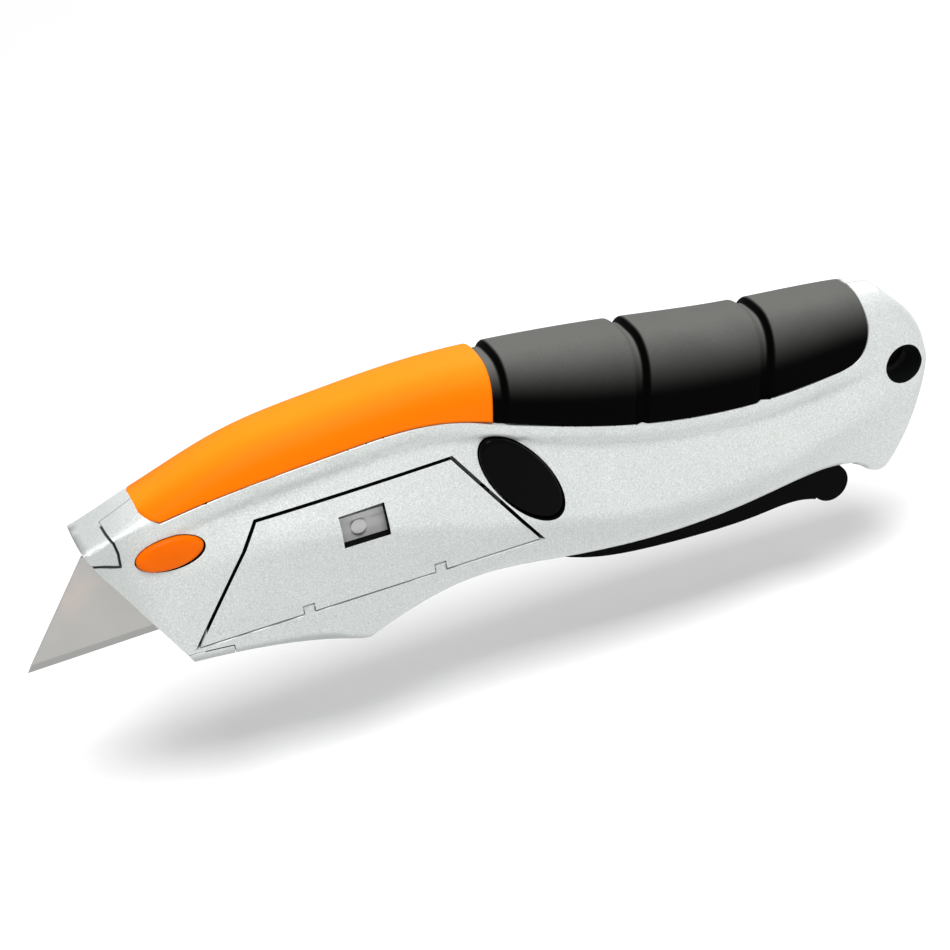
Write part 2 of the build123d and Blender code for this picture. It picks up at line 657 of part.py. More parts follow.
def blade_tray(space):
    """Tray behind the door that holds the spare blades by their edges."""
    gap, lip = 0.3, 0.8
    inner = SPARE_NEAR + SPARE_COUNT * (BLADE_THICK + 0.02) + 0.1
    tray = tray_ring(gap + lip, SPARE_NEAR - 0.6, inner) - tray_ring(gap, SPARE_NEAR - 0.02, 0.0)
    tray -= box(0.0, TRAY_FOOT[0], -FAR, 0.0, -FAR, TRAY_CORNER)
    tray -= box(TRAY_FOOT[1], 200.0, -FAR, 0.0, -FAR, TRAY_CORNER)
    middle = SPARE_X + BLADE_LENGTH / 2.0
    for sign in (-1, 1):
        place = (middle + sign * NOTCH_PITCH / 2.0, SPARE_Z + BLADE_WIDTH - 0.2)
        tray += rod(place, NOTCH / 2.0 - 0.2, SPARE_NEAR - 0.1, inner)
    for x in (middle - 10.0, middle + 12.0):
        for z in (3.0, BLADE_WIDTH - 4.0):
            tray += rod((x, z), 1.2, -FAR, SPARE_NEAR - 0.3)
    x_low, x_high, z_low, z_high = WINDOW
    level = (z_low + 2.0 * z_high) / 3.0
    tray += box(x_low - 1.0, x_high + 1.0, SPARE_NEAR - 1.3, SPARE_NEAR - 0.3, level - 0.5, level + 0.5)
    tray += rod(((x_low + x_high) / 2.0 - 0.5, level - 2.2), 1.4, SPARE_NEAR - 1.1, SPARE_NEAR - 0.3)
    tray = beside_door(tray)
    return tray & space & trapezoid(DOOR_GAP + 0.2, 0.4, -FAR, 0.0)


# ---------------------------------------------------------------- carriage, arm and lever
def drive_point():
    """Centre of the drive pin with the blade out."""
    return turned((ARM_PIVOT[0], ARM_PIVOT[1] + ARM_LENGTH), ARM_PIVOT, -ARM_RANGE / 2.0)


def crank_point():
    """Centre of the crank pin with the blade out."""
    return turned((ARM_PIVOT[0] + CRANK_LENGTH, ARM_PIVOT[1]), ARM_PIVOT, -ARM_RANGE / 2.0)


def blade_carriage():
    """Carriage plate with the blade's seat, the fork for the arm and the lock's keyhole slot."""
    low, high = CARRIAGE_LOW, CARRIAGE_HIGH
    rear = BLADE_LENGTH + 1.5
    front = box(40.0, rear, PLATE_NEAR, PLATE_FAR, low, high)
    tail = box(rear - 1.0, LOCK_ROD[0] + 6.0, PLATE_NEAR, PLATE_FAR, 2.5, 15.0)
    x, z = drive_point()
    fork = box(x - 3.6, x + 3.6, PLATE_NEAR, PLATE_FAR, 12.0, ARM_PIVOT[1] + ARM_LENGTH + 3.4)
    carriage = front + tail + fork
    carriage += box(40.0, rear, -0.9, PLATE_NEAR, low, -SLIDING)
    carriage += box(BLADE_LENGTH + SLIDING, rear, -0.9, PLATE_NEAR, low, high)
    carriage += box(46.0, rear, -0.9, PLATE_NEAR, BLADE_WIDTH + SLIDING, high)
    width = 2.0 * (PIN_RADIUS + FORK_PLAY)
    reach = ARM_LENGTH * (1.0 - cos(radians(ARM_RANGE / 2.0))) + width
    carriage -= slot((x, z + (reach - width) / 2.0), reach + 0.4, width, 90.0, -1.0, FAR)
    carriage -= box(x - width / 2.0, x + width / 2.0, -1.0, FAR, ARM_PIVOT[1] + ARM_LENGTH, 30.0)
    hole = LOCK_ROD_RADIUS + 0.2
    for shift in (0.0, TRAVEL):
        carriage -= rod((LOCK_ROD[0] - shift, LOCK_ROD[1]), hole, -1.0, FAR)
    slit = LOCK_NECK + 0.15
    carriage -= box(LOCK_ROD[0] - TRAVEL, LOCK_ROD[0], -1.0, FAR, LOCK_ROD[1] - slit, LOCK_ROD[1] + slit)
    return carriage


def blade_clip():
    """Spring-steel clip that presses the blade against the carriage."""
    near = -BLADE_THICK / 2.0 - 0.55
    clip = box(48.0, BLADE_LENGTH + SLIDING, near, near + 0.5, 4.0, 14.0)
    clip -= slot((53.0, 9.0), 7.0, 3.0, 90.0, -2.0, 0.0)
    return clip


def swing_arm():
    """Bell crank that turns the lever's short stroke into the blade's long one."""
    arm = rod(ARM_PIVOT, PIN_RADIUS + 1.3, ARM_NEAR, ARM_FAR)
    top = drive_point()
    end = crank_point()
    arm += rod(top, PIN_RADIUS + 1.2, ARM_NEAR, ARM_FAR)
    arm += rod(end, CRANK_PIN + 1.0, ARM_NEAR, ARM_FAR)
    for place, half_root, half_tip in ((top, 2.6, 2.2), (end, 2.4, 2.0)):
        dx = place[0] - ARM_PIVOT[0]
        dz = place[1] - ARM_PIVOT[1]
        length = (dx * dx + dz * dz) ** 0.5
        nx, nz = -dz / length, dx / length
        arm += plate([(ARM_PIVOT[0] + nx * half_root, ARM_PIVOT[1] + nz * half_root),
                      (place[0] + nx * half_tip, place[1] + nz * half_tip),
                      (place[0] - nx * half_tip, place[1] - nz * half_tip),
                      (ARM_PIVOT[0] - nx * half_root, ARM_PIVOT[1] - nz * half_root)],
                     ARM_NEAR, ARM_FAR)
    arm -= rod(ARM_PIVOT, PIN_RADIUS + RUNNING, 0.0, FAR)
    arm -= rod(top, PIN_RADIUS, 0.0, FAR)
    arm -= rod(end, CRANK_PIN, 0.0, FAR)
    return arm


def drive_pin():
    """Pin on the arm's long end, in the carriage's fork."""
    return rod(drive_point(), PIN_RADIUS - 0.01, PLATE_NEAR + 0.05, ARM_FAR)


def crank_pin():
    """Pin on the arm's short end, in the lever's slot."""
    return rod(crank_point(), CRANK_PIN - 0.01, 0.1, ARM_FAR)


def squeeze_lever():
    """Lever under the handle, with its knuckle, its lug for the crank pin and its end bulb."""
    x, z = LEVER_PIVOT
    keel = [(x + 6.0, z - 4.1)]
    keel += [(x + share * (BULB[0] - x), height) for share, height in LEVER_KEEL]
    edges = [
        line((x, z - LEVER_KNUCKLE), keel[0]),
        curve(keel),
        line(keel[-1], (BULB[0], BULB[1])),
        line((BULB[0], BULB[1]), (BULB[0] + 1.0, LEVER_TOP - 0.6)),
        line((BULB[0] + 1.0, LEVER_TOP - 0.6), (x + 9.0, LEVER_TOP)),
        line((x + 9.0, LEVER_TOP), (x, z + LEVER_KNUCKLE)),
        line((x, z + LEVER_KNUCKLE), (x, z - LEVER_KNUCKLE)),
    ]
    lever = across(edges, -LEVER_HALF, LEVER_HALF)
    lever += rod(LEVER_PIVOT, LEVER_KNUCKLE, -LEVER_HALF, LEVER_HALF)
    lever += rod(BULB, BULB_RADIUS, -LEVER_HALF, LEVER_HALF)
    rest = crank_point()
    middle = turned(turned(rest, ARM_PIVOT, ARM_RANGE / 2.0), LEVER_PIVOT, -LEVER_RANGE / 2.0)
    last = turned(turned(rest, ARM_PIVOT, ARM_RANGE), LEVER_PIVOT, -LEVER_RANGE)
    xs = [rest[0], middle[0], last[0]]
    zs = [rest[1], middle[1], last[1]]
    centre = ((min(xs) + max(xs)) / 2.0, (min(zs) + max(zs)) / 2.0)
    width = 2.0 * (CRANK_PIN + CRANK_PLAY) + max(zs) - min(zs)
    length = width + max(xs) - min(xs)
    lever += box(centre[0] - 3.6, centre[0] + 3.6, 0.2, PLATE_FAR, LEVER_TOP - 1.0, centre[1] + 2.9)
    lever -= slot(centre, length, width, 0.0, 0.0, ARM_NEAR)
    lever -= rod(LEVER_PIVOT, PIN_RADIUS + RUNNING, -FAR, FAR)
    return lever


def cross_pin(place):
    """Steel pin across both shells."""
    return rod(place, PIN_RADIUS - 0.01, -7.3, 7.3)


def coil(radius, wire, turns, length, base, direction):
    """Coil spring with its axis from a base point along a direction."""
    plane = Plane(base, z_dir=direction)
    pitch = (length - 2.0 * wire) / turns
    path = Wire([Edge.make_helix(pitch, pitch * turns, radius)])
    start = path.position_at(0)
    section = Plane(start, z_dir=path.tangent_at(0))
    profile = Wire([Edge.make_circle(wire, section)])
    spring = Solid.sweep(Face(profile), path)
    return plane.location * Location((0, 0, wire)) * spring


def return_spring():
    """Compression spring that pushes the lever down and so draws the blade back."""
    base = (SPRING_X, 0.0, LEVER_TOP + 0.1)
    return coil(SPRING_RADIUS, SPRING_WIRE, SPRING_TURNS, SPRING_SEAT - LEVER_TOP - 0.2, base, (0, 0, 1))


# ---------------------------------------------------------------- buttons
def release_button():
    """Oval button at the nose that frees the blade, with a pocket behind it for its spring."""
    face = -(between(BUTTON_AT[0], 4) + BUTTON_PROUD)
    back = BUTTON_FLOOR - BUTTON_TRAVEL - BUTTON_BACK
    pocket = BUTTON_FLOOR - BUTTON_TRAVEL - BUTTON_COIL_LENGTH - 0.05
    button = oval(BUTTON_AT, BUTTON_LENGTH, BUTTON_HEIGHT, 0.0, face, back)
    button -= rod(BUTTON_AT, BUTTON_COIL + BUTTON_WIRE + SLIDING, pocket, 0.0)
    return button + rod(BUTTON_AT, BUTTON_STEM, pocket - 0.1, BUTTON_FLOOR + 0.3)


def button_spring():
    """Small spring round the button's stem, drawn at its pressed length."""
    x, z = BUTTON_AT
    base = (x, BUTTON_FLOOR - BUTTON_COIL_LENGTH, z)
    return coil(BUTTON_COIL, BUTTON_WIRE, 3, BUTTON_COIL_LENGTH - 0.02, base, (0, 1, 0))


def lock_button():
    """Near end of the push-through lock, with the thick part of its bolt."""
    face = -(between(LOCK_AT[0], 5) - 0.5 + LOCK_PROUD)
    button = oval(LOCK_AT, LOCK_LENGTH, LOCK_WIDTH, LOCK_TILT, face, face + 4.0)
    return button + rod(LOCK_ROD, LOCK_ROD_RADIUS, face + 3.0, 0.05)


def lock_end():
    """Far end of the push-through lock, with the thin neck of its bolt."""
    face = between(LOCK_AT[0], 5) - 0.5 + LOCK_PROUD - LOCK_TRAVEL
    button = oval(LOCK_AT, LOCK_LENGTH, LOCK_WIDTH, LOCK_TILT, face - 2.6, face)
    return button + rod(LOCK_ROD, LOCK_NECK, 0.05, face - 2.0)


# ---------------------------------------------------------------- whole knife
def build():
    """Every node of the knife, in drawing coordinates."""
    outer = body_blank()
    front_grip, rear_blank, rear_grip = grips(outer)
    mass = outer - front_grip - rear_blank
    space = hollow()
    return {
        "right_shell": right_shell(outer, mass, space),
        "left_shell": left_shell(outer, mass, space),
        "front_grip": front_grip,
        "rear_grip": rear_grip,
        "shell_screws": shell_screws(),
        "side_door": side_door(outer, space),
        "door_hinge_pin": door_hinge_pin(),
        "blade_tray": blade_tray(space),
        "spare_blades": spare_blades(),
        "blade": blade(),
        "blade_carriage": blade_carriage(),
        "blade_clip": blade_clip(),
        "squeeze_lever": squeeze_lever(),
        "lever_pivot_pin": cross_pin(LEVER_PIVOT),
        "return_spring": return_spring(),
        "swing_arm": swing_arm(),
        "swing_arm_pin": cross_pin(ARM_PIVOT),
        "drive_pin": drive_pin(),
        "crank_pin": crank_pin(),
        "release_button": release_button(),
        "button_spring": button_spring(),
        "lock_button": lock_button(),
        "lock_end": lock_end(),
    }


def solids_of(shape):
    """The separate solids of a node."""
    if isinstance(shape, list):
        return [solid for item in shape for solid in solids_of(item)]
    return list(shape.solids())


def origin_shift():
    """Move from drawing coordinates to the knife's own frame."""
    return Location((-TAIL_REAR[0] / 2.0, 0.0, BULB_RADIUS - BULB[1]))


def export(nodes):
    """Write one STEP file for each node."""
    os.makedirs("parts", exist_ok=True)
    shift = origin_shift()
    for name, shape in nodes.items():
        solids = [solid.moved(shift) for solid in solids_of(shape)]
        piece = solids[0] if len(solids) == 1 else Compound(children=solids)
        piece.label = name
        export_step(piece, "parts/" + name + ".step")


export(build())
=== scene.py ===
"""Dress of a squeeze-lever utility knife: smooth skins, finishes, studio and camera.

Shapes are in drawing millimetres, counted from the blade's tip: X runs to the tail, Y across the
knife with the door side at -Y, and Z up to the spine; ``placed`` takes them to metres in the
knife's frame. Finishes and studio are in metres.
"""

import logging
import math
from dataclasses import dataclass, field
from enum import Enum

import bmesh
import bpy
import numpy as np
from mathutils import Matrix, Vector


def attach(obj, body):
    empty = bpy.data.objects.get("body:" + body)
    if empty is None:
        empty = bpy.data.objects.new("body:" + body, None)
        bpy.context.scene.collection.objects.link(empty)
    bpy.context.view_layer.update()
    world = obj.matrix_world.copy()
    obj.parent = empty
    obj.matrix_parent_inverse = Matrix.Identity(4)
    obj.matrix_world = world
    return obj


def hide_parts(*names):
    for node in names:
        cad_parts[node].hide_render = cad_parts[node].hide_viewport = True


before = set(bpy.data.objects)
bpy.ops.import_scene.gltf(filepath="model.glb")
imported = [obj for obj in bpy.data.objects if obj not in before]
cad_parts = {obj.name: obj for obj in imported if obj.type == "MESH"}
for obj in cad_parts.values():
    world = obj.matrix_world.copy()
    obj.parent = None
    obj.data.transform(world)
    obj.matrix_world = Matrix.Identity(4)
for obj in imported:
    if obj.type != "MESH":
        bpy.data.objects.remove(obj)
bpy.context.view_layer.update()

log = logging.getLogger("knife")

MM = 0.001
TO_FRAME = np.array([-88.8, 0.0, 17.4])
Array = np.ndarray


class Body(Enum):
    """The moving bodies of the knife."""

    CASE = "body"
    DOOR = "door"
    RELEASE = "release"
    LOCK = "lock"


class Slot(Enum):
    """Names of finish slots for the new pieces; the buttons keep theirs in a field that nothing
    reads.
    """

    ORANGE_GRIP = "orange_grip"
    BLACK_GRIP = "black_grip"
    ORANGE_PLASTIC = "orange_plastic"
    BLACK_GLOSS = "black_gloss"


# ------------------------------------------------------------------ numbers and meshes
def placed(points: Array) -> Array:
    """Take drawing millimetres to metres in the knife's frame: (p + shift) / 1000."""
    return (np.asarray(points, float) + TO_FRAME) * MM


def drawn(points: Array) -> Array:
    """Take metres in the knife's frame back to drawing millimetres: 1000 p - shift."""
    return np.asarray(points, float) / MM - TO_FRAME


def smooth_step(low: float, high: float, value: Array) -> Array:
    """Ease from 0 at low to 1 at high: 3 s^2 - 2 s^3 of the clipped share s."""
    share = np.clip((np.asarray(value, float) - low) / (high - low), 0.0, 1.0)
    return share * share * (3.0 - 2.0 * share)


def spline(knots: Array, values: Array, at: Array) -> Array:
    """Run natural cubic splines through columns of values.

    The second derivatives m solve the usual tridiagonal system, and a point between two knots is
    the cubic that has their values and their m.

    Args:
        knots: Rising places of the given values, n of them.
        values: Array of n rows, one column for each quantity.
        at: Places to evaluate, of any shape.

    Returns:
        Array of the shape of ``at`` with one more axis for the columns.
    """
    step = np.diff(knots)
    inner = np.arange(1, len(knots) - 1)
    system = np.eye(len(knots))
    system[inner, inner - 1] = step[:-1]
    system[inner, inner] = 2.0 * (step[:-1] + step[1:])
    system[inner, inner + 1] = step[1:]
    slope = np.diff(values, axis=0) / step[:, None]
    right = np.zeros_like(values)
    right[1:-1] = 6.0 * np.diff(slope, axis=0)
    bend = np.linalg.solve(system, right)
    at = np.clip(at, knots[0], knots[-1])
    cell = np.clip(np.searchsorted(knots, at) - 1, 0, len(knots) - 2)
    width = step[cell][..., None]
    b = (np.asarray(at) - knots[cell])[..., None] / width
    a = 1.0 - b
    cubic = (a ** 3 - a) * bend[cell] + (b ** 3 - b) * bend[cell + 1]
    return a * values[cell] + b * values[cell + 1] + cubic * width ** 2 / 6.0


def graded(start: float, end: float, count: int, fine: float = 0.35) -> Array:
    """Rising values, closer together at both ends: a blend of even and cosine spacing.

    Args:
        start: First value.
        end: Last value.
        count: How many values.
        fine: Share of the cosine spacing.

    Returns:
        Array of the values.
    """
    even = np.linspace(0.0, 1.0, count)
    cosine = 0.5 - 0.5 * np.cos(math.pi * even)
    return start + (end - start) * ((1.0 - fine) * even + fine * cosine)


def make_piece(name: str, points: Array, faces: Array | list, material: bpy.types.Material,
               body: Body, smooth: float = 40.0) -> bpy.types.Object:
    """Make a piece from drawing points and faces, and let it ride on a body.

    Args:
        name: Name of the object.
        points: Array of n drawing points.
        faces: Array of corner numbers, one row for each face, or a list of such rows.
        material: Finish of the piece.
        body: The body that it moves with.
        smooth: Edges that turn by more degrees than this stay sharp.

    Returns:
        The new object, at the origin, with its place in its mesh.
    """
    mesh = bpy.data.meshes.new(name)
    rows = faces.tolist() if isinstance(faces, np.ndarray) else faces
    mesh.from_pydata(placed(points).tolist(), [], rows)
    mesh.validate()
    mesh.materials.append(material)
    piece = bpy.data.objects.new(name, mesh)
    bpy.context.scene.collection.objects.link(piece)
    mesh.shade_smooth()
    mesh.set_sharp_from_angle(angle=math.radians(smooth))
    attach(piece, body.value)
    return piece


def grid_faces(rows: int, columns: int, wrap: bool = False) -> Array:
    """Quads of a grid of points, row by row; a wrapped grid closes its columns.

    Args:
        rows: Rows of points.
        columns: Points in a row.
        wrap: Whether the last column joins the first one.

    Returns:
        Array of point numbers, four for each quad.
    """
    numbers = np.arange(rows * columns).reshape(rows, columns)
    if wrap:
        numbers = np.concatenate([numbers, numbers[:, :1]], axis=1)
    corners = [numbers[:-1, :-1], numbers[:-1, 1:], numbers[1:, 1:], numbers[1:, :-1]]
    return np.stack(corners, axis=-1).reshape(-1, 4)


def slab(outer: Array, inner: Array) -> tuple[Array, Array]:
    """Close the space between two grids of the same shape into one solid skin.

    Args:
        outer: Array (rows, columns, 3) of the visible side.
        inner: Array of the same shape, behind it.

    Returns:
        The points, those of the outer grid first, and the quads.
    """
    rows, columns = outer.shape[:2]
    count = rows * columns
    number = np.arange(count).reshape(rows, columns)
    quads = grid_faces(rows, columns)
    faces = [quads, (quads + count)[:, ::-1]]
    borders = ((number[0, :-1], number[0, 1:]), (number[-1, 1:], number[-1, :-1]),
               (number[1:, 0], number[:-1, 0]), (number[:-1, -1], number[1:, -1]))
    faces += [np.stack([end, start, start + count, end + count], -1) for start, end in borders]
    return np.concatenate([outer.reshape(-1, 3), inner.reshape(-1, 3)]), np.concatenate(faces)


def tidy_normals(piece: bpy.types.Object, smooth: float = 40.0) -> None:
    """Drop points that no face uses and turn the faces of a closed skin outwards.

    Args:
        piece: Object with a closed mesh.
        smooth: Edges that turn by more degrees than this stay sharp.
    """
    work = bmesh.new()
    work.from_mesh(piece.data)
    loose = [point for point in work.verts if not point.link_faces]
    bmesh.ops.delete(work, geom=loose, context="VERTS")
    bmesh.ops.remove_doubles(work, verts=work.verts, dist=1e-6)
    bmesh.ops.recalc_face_normals(work, faces=work.faces)
    work.to_mesh(piece.data)
    work.free()
    piece.data.shade_smooth()
    piece.data.set_sharp_from_angle(angle=math.radians(smooth))


# ------------------------------------------------------------------ the body's form
@dataclass(frozen=True)
class BodyForm:
    """The knife's outside as a function of X and of the way round its section.

    Each station holds an X, the heights of the top, the grips' border and the flank's crease, and
    the half widths at the border, the crease and the keel.
    """

    stations: tuple[tuple[float, ...], ...] = (
        (8.0, 23.4, 20.5, 12.0, 6.7, 6.7, 6.1),
        (25.0, 27.0, 24.4, 14.5, 7.3, 7.4, 6.4),
        (41.0, 32.3, 26.7, 15.0, 8.2, 8.9, 6.3),
        (60.0, 34.6, 27.8, 13.0, 8.6, 9.8, 6.2),
        (80.0, 35.1, 27.2, 6.8, 8.9, 10.0, 6.2),
        (100.0, 33.3, 20.0, 0.5, 9.2, 10.0, 6.0),
        (120.0, 30.2, 13.9, -4.0, 9.3, 9.9, 5.9),
        (140.0, 26.8, 11.1, -3.5, 9.0, 9.5, 5.9),
        (158.0, 24.9, 11.2, 0.0, 8.0, 8.4, 5.6),
        (168.0, 23.5, 11.5, 2.0, 7.2, 7.4, 5.4),
        (182.0, 20.5, 11.0, 3.0, 6.2, 6.2, 5.0),
    )
    keel: float = -19.0
    rim: float = 2.6
    rim_step: float = 0.9
    rim_ramp: float = 1.4
    contrast: float = 2.4
    rim_start: tuple[float, float] = (25.0, 41.0)
    rim_end: tuple[float, float] = (158.0, 168.0)

    def columns(self, x: Array) -> Array:
        """Top, border, crease and the three half widths at x, as splines of the stations."""
        table = np.array(self.stations)
        return spline(table[:, 0], table[:, 1:], x)

    def step(self, x: Array) -> Array:
        """How far the side steps in under the rim at x.

        Args:
            x: Places along the knife.

        Returns:
            The step in millimetres, fading out at both ends of the rim.
        """
        rise = (x - self.rim_start[0]) / (self.rim_start[1] - self.rim_start[0])
        fade = (self.rim_end[1] - x) / (self.rim_end[1] - self.rim_end[0])
        return self.rim_step * np.clip(np.minimum(rise, fade), 0.05, 1.0)

    def shoulder(self, x: Array, t: Array) -> tuple[Array, Array]:
        """Half width and height on the shoulder, from the top (t = 0) to the border (t = 1).

        A cubic spline runs through four points of the section, level at the top and upright at
        the border. Below the border, t > 1 goes straight down the rim.

        Args:
            x: Places along the knife.
            t: Ways round the section.

        Returns:
            Half width and height, each of the shape of x and t together.
        """
        x, t = np.broadcast_arrays(np.asarray(x, float), np.asarray(t, float))
        top, border, _, grip, _, _ = np.moveaxis(self.columns(x), -1, 0)
        crown = np.minimum(0.55, 0.1 * (top - border))
        bend = np.minimum(3.0, 0.45 * (top - border))
        ys = np.stack([0.0 * grip, 0.5 * grip, 0.86 * grip, grip])
        zs = np.stack([top, top - crown, top - bend, border])
        hop = np.hypot(np.diff(ys, axis=0), np.diff(zs, axis=0))
        reach = np.concatenate([0.0 * hop[:1], np.cumsum(hop, axis=0)])
        place = np.clip(t, 0.0, 1.0) * reach[3]
        y = self.clamped(ys, hop, reach, place, 1.0, 0.0)
        z = self.clamped(zs, hop, reach, place, 0.0, -1.0)
        below = np.maximum(t - 1.0, 0.0) * self.rim
        return y, z - below

    @staticmethod
    def clamped(p: Array, h: Array, reach: Array, place: Array, first: float, last: float) -> Array:
        """Clamped cubic spline through four values, by the length of the chords between them.

        Args:
            p: Four values, along the first axis.
            h: The three chords between them.
            reach: How far each value is along the chords.
            place: Where to evaluate, as a length along the chords.
            first: Slope at the first value.
            last: Slope at the last value.

        Returns:
            Values of the spline, of the shape of place.
        """
        a1, b1, c1 = h[1] * first, 2.0 * (h[0] + h[1]), h[0]
        r1 = 3.0 * (h[1] * (p[1] - p[0]) / h[0] + h[0] * (p[2] - p[1]) / h[1]) - a1
        a2, b2, c2 = h[2], 2.0 * (h[1] + h[2]), h[1] * last
        r2 = 3.0 * (h[2] * (p[2] - p[1]) / h[1] + h[1] * (p[3] - p[2]) / h[2]) - c2
        d1 = (r1 * b2 - c1 * r2) / (b1 * b2 - a2 * c1)
        d2 = (r2 - a2 * d1) / b2
        slopes = np.stack([first + 0.0 * d1, d1, d2, last + 0.0 * d1])
        value = 0.0 * place
        for k in range(3):
            s = np.clip((place - reach[k]) / h[k], 0.0, 1.0)
            inside = (place >= reach[k]) & ((place <= reach[k + 1]) if k < 2 else True)
            cubic = ((2 * s ** 3 - 3 * s ** 2 + 1) * p[k]
                     + (s ** 3 - 2 * s ** 2 + s) * h[k] * slopes[k]
                     + (3 * s ** 2 - 2 * s ** 3) * p[k + 1]
                     + (s ** 3 - s ** 2) * h[k] * slopes[k + 1])
            value = np.where(inside, cubic, value)
        return value

    def flank(self, x: Array, z: Array) -> Array:
        """Half width below the border: straight runs between the rim, its foot, crease and keel.

        Args:
            x: Places along the knife.
            z: Heights.

        Returns:
            Half widths.
        """
        _, border, crease, grip, side, keel = np.moveaxis(self.columns(x), -1, 0)
        ledge = border - self.rim
        foot = ledge - self.rim_ramp
        neck = grip - self.step(x)
        ramp = grip - (grip - neck) * (ledge - z) / self.rim_ramp
        upper = neck + (side - neck) * (foot - z) / np.maximum(foot - crease, 0.1)
        lower = side + (keel - side) * (crease - z) / (crease - self.keel)
        value = np.where(z > ledge, grip, ramp)
        value = np.where(z < foot, upper, value)
        return np.where(z < crease, lower, value)

    def flank_normal(self, points: Array) -> Array:
        """Outward normal on the flank, eased over the corners of the section.

        The slope in Z is the central difference over a reach that grows away from the rim, and
        the slope in X the mean of differences at five heights within that reach. Away from the
        rim the slope in Z counts more, which sets the crease off.

        Args:
            points: Array of drawing points.

        Returns:
            Unit normals, one row for each point.
        """
        x, z = points[:, 0], points[:, 2]
        columns = self.columns(x)
        foot = columns[:, 1] - self.rim - self.rim_ramp
        reach = np.clip(0.3 * (foot - z), 0.45, 1.6)
        rise = (self.flank(x, z + reach) - self.flank(x, z - reach)) / (2.0 * reach)
        rise *= 1.0 + (self.contrast - 1.0) * smooth_step(0.0, 3.0, foot - z)
        run = sum(self.flank(x + 0.5, z + k * reach) - self.flank(x - 0.5, z + k * reach)
                  for k in (-1.0, -0.5, 0.0, 0.5, 1.0)) / 5.0
        sign = np.sign(points[:, 1])
        return self.unit(np.stack([-run, sign, -rise], -1))

    def shoulder_point(self, x: Array, t: Array, side: float) -> Array:
        """Drawing point on the shoulder."""
        y, z = self.shoulder(x, t)
        return np.stack([np.broadcast_to(x, y.shape), side * y, z], -1)

    def shoulder_normal(self, x: Array, t: Array, side: float) -> Array:
        """Outward normal on the shoulder: the cross product of small steps in x and t.

        Args:
            x: Places along the knife.
            t: Ways round the section.
            side: Sign of Y.

        Returns:
            Unit normals.
        """
        along = self.shoulder_point(x + 0.2, t, side) - self.shoulder_point(x - 0.2, t, side)
        t0, t1 = np.maximum(t - 0.01, -0.01), t + 0.01
        around = self.shoulder_point(x, t1, side)
        around = around - self.shoulder_point(x, np.maximum(t0, 0.0), side)
        return self.unit(np.cross(along, around) * side)

    @staticmethod
    def unit(vectors: Array) -> Array:
        """Vectors of length one."""
        return vectors / np.maximum(np.linalg.norm(vectors, axis=-1, keepdims=True), 1e-12)

    def normals(self, points: Array) -> tuple[Array, Array]:
        """The form's normal at drawing points, and how far each point is from the form.

        Args:
            points: Array of drawing points.

        Returns:
            Unit normals, and distances in millimetres.
        """
        x, y, z = points.T
        border = self.columns(x)[:, 1]
        flank = self.flank_normal(points)
        gap = np.abs(np.abs(y) - self.flank(x, z))
        steps = np.linspace(0.0, 1.0, 41)
        ys, zs = self.shoulder(x[:, None], steps[None, :])
        apart = np.hypot(ys - np.abs(y)[:, None], zs - z[:, None])
        best = apart.argmin(axis=1)
        rows = np.arange(len(x))
        high = z > border
        side = np.where(y < 0, -1.0, 1.0)
        near = self.shoulder_normal(x, steps[best], 1.0)
        near[:, 1] *= side
        normal = np.where(high[:, None], near, flank)
        distance = np.where(high, np.maximum(apart[rows, best] - 0.15, 0.0), gap)
        return normal, distance


@dataclass(frozen=True)
class SideView:
    """The body's lower outline seen from the side, as runs of points with curves through them."""

    nose: tuple[tuple[float, float], ...] = ((15.2, 25.3), (13.6, 23.4), (15.7, 18.8), (28.0, -4.5))
    belly: tuple[tuple[float, float], ...] = ((28.0, -4.5), (46.5, -7.2), (56.0, -10.2),
                                              (61.6, -12.8))
    keel: tuple[tuple[float, float], ...] = (
        (61.6, -12.8), (69.3, -9.9), (76.0, -8.1), (84.6, -7.4), (93.0, -8.4), (104.0, -10.3),
        (126.0, -11.8), (140.0, -11.0), (151.0, -10.2), (158.5, -11.3), (163.2, -14.3))

    @staticmethod
    def dense(run: tuple[tuple[float, float], ...]) -> Array:
        """Many points on the smooth curve through a run, by the length of its chords.

        Args:
            run: Points (X, Z) of the run.

        Returns:
            Array of 300 points.
        """
        points = np.array(run)
        hop = np.hypot(*np.diff(points, axis=0).T)
        reach = np.concatenate([[0.0], np.cumsum(hop)])
        return spline(reach, points, np.linspace(0.0, reach[-1], 300))

    def distance(self, x: Array, z: Array) -> Array:
        """Distance from the outline: straight runs at the nose, then both smooth curves.

        Args:
            x: Places along the knife.
            z: Heights.

        Returns:
            The least distance of each point from the outline.
        """
        corners = np.array(self.nose)
        share = np.linspace(0.0, 1.0, 80)[:, None]
        runs = [a + share * (b - a) for a, b in zip(corners, corners[1:])]
        line = np.concatenate(runs + [self.dense(self.belly), self.dense(self.keel)])
        return np.hypot(x[:, None] - line[:, 0], z[:, None] - line[:, 1]).min(axis=1)


FORM = BodyForm()
SIDE_VIEW = SideView()


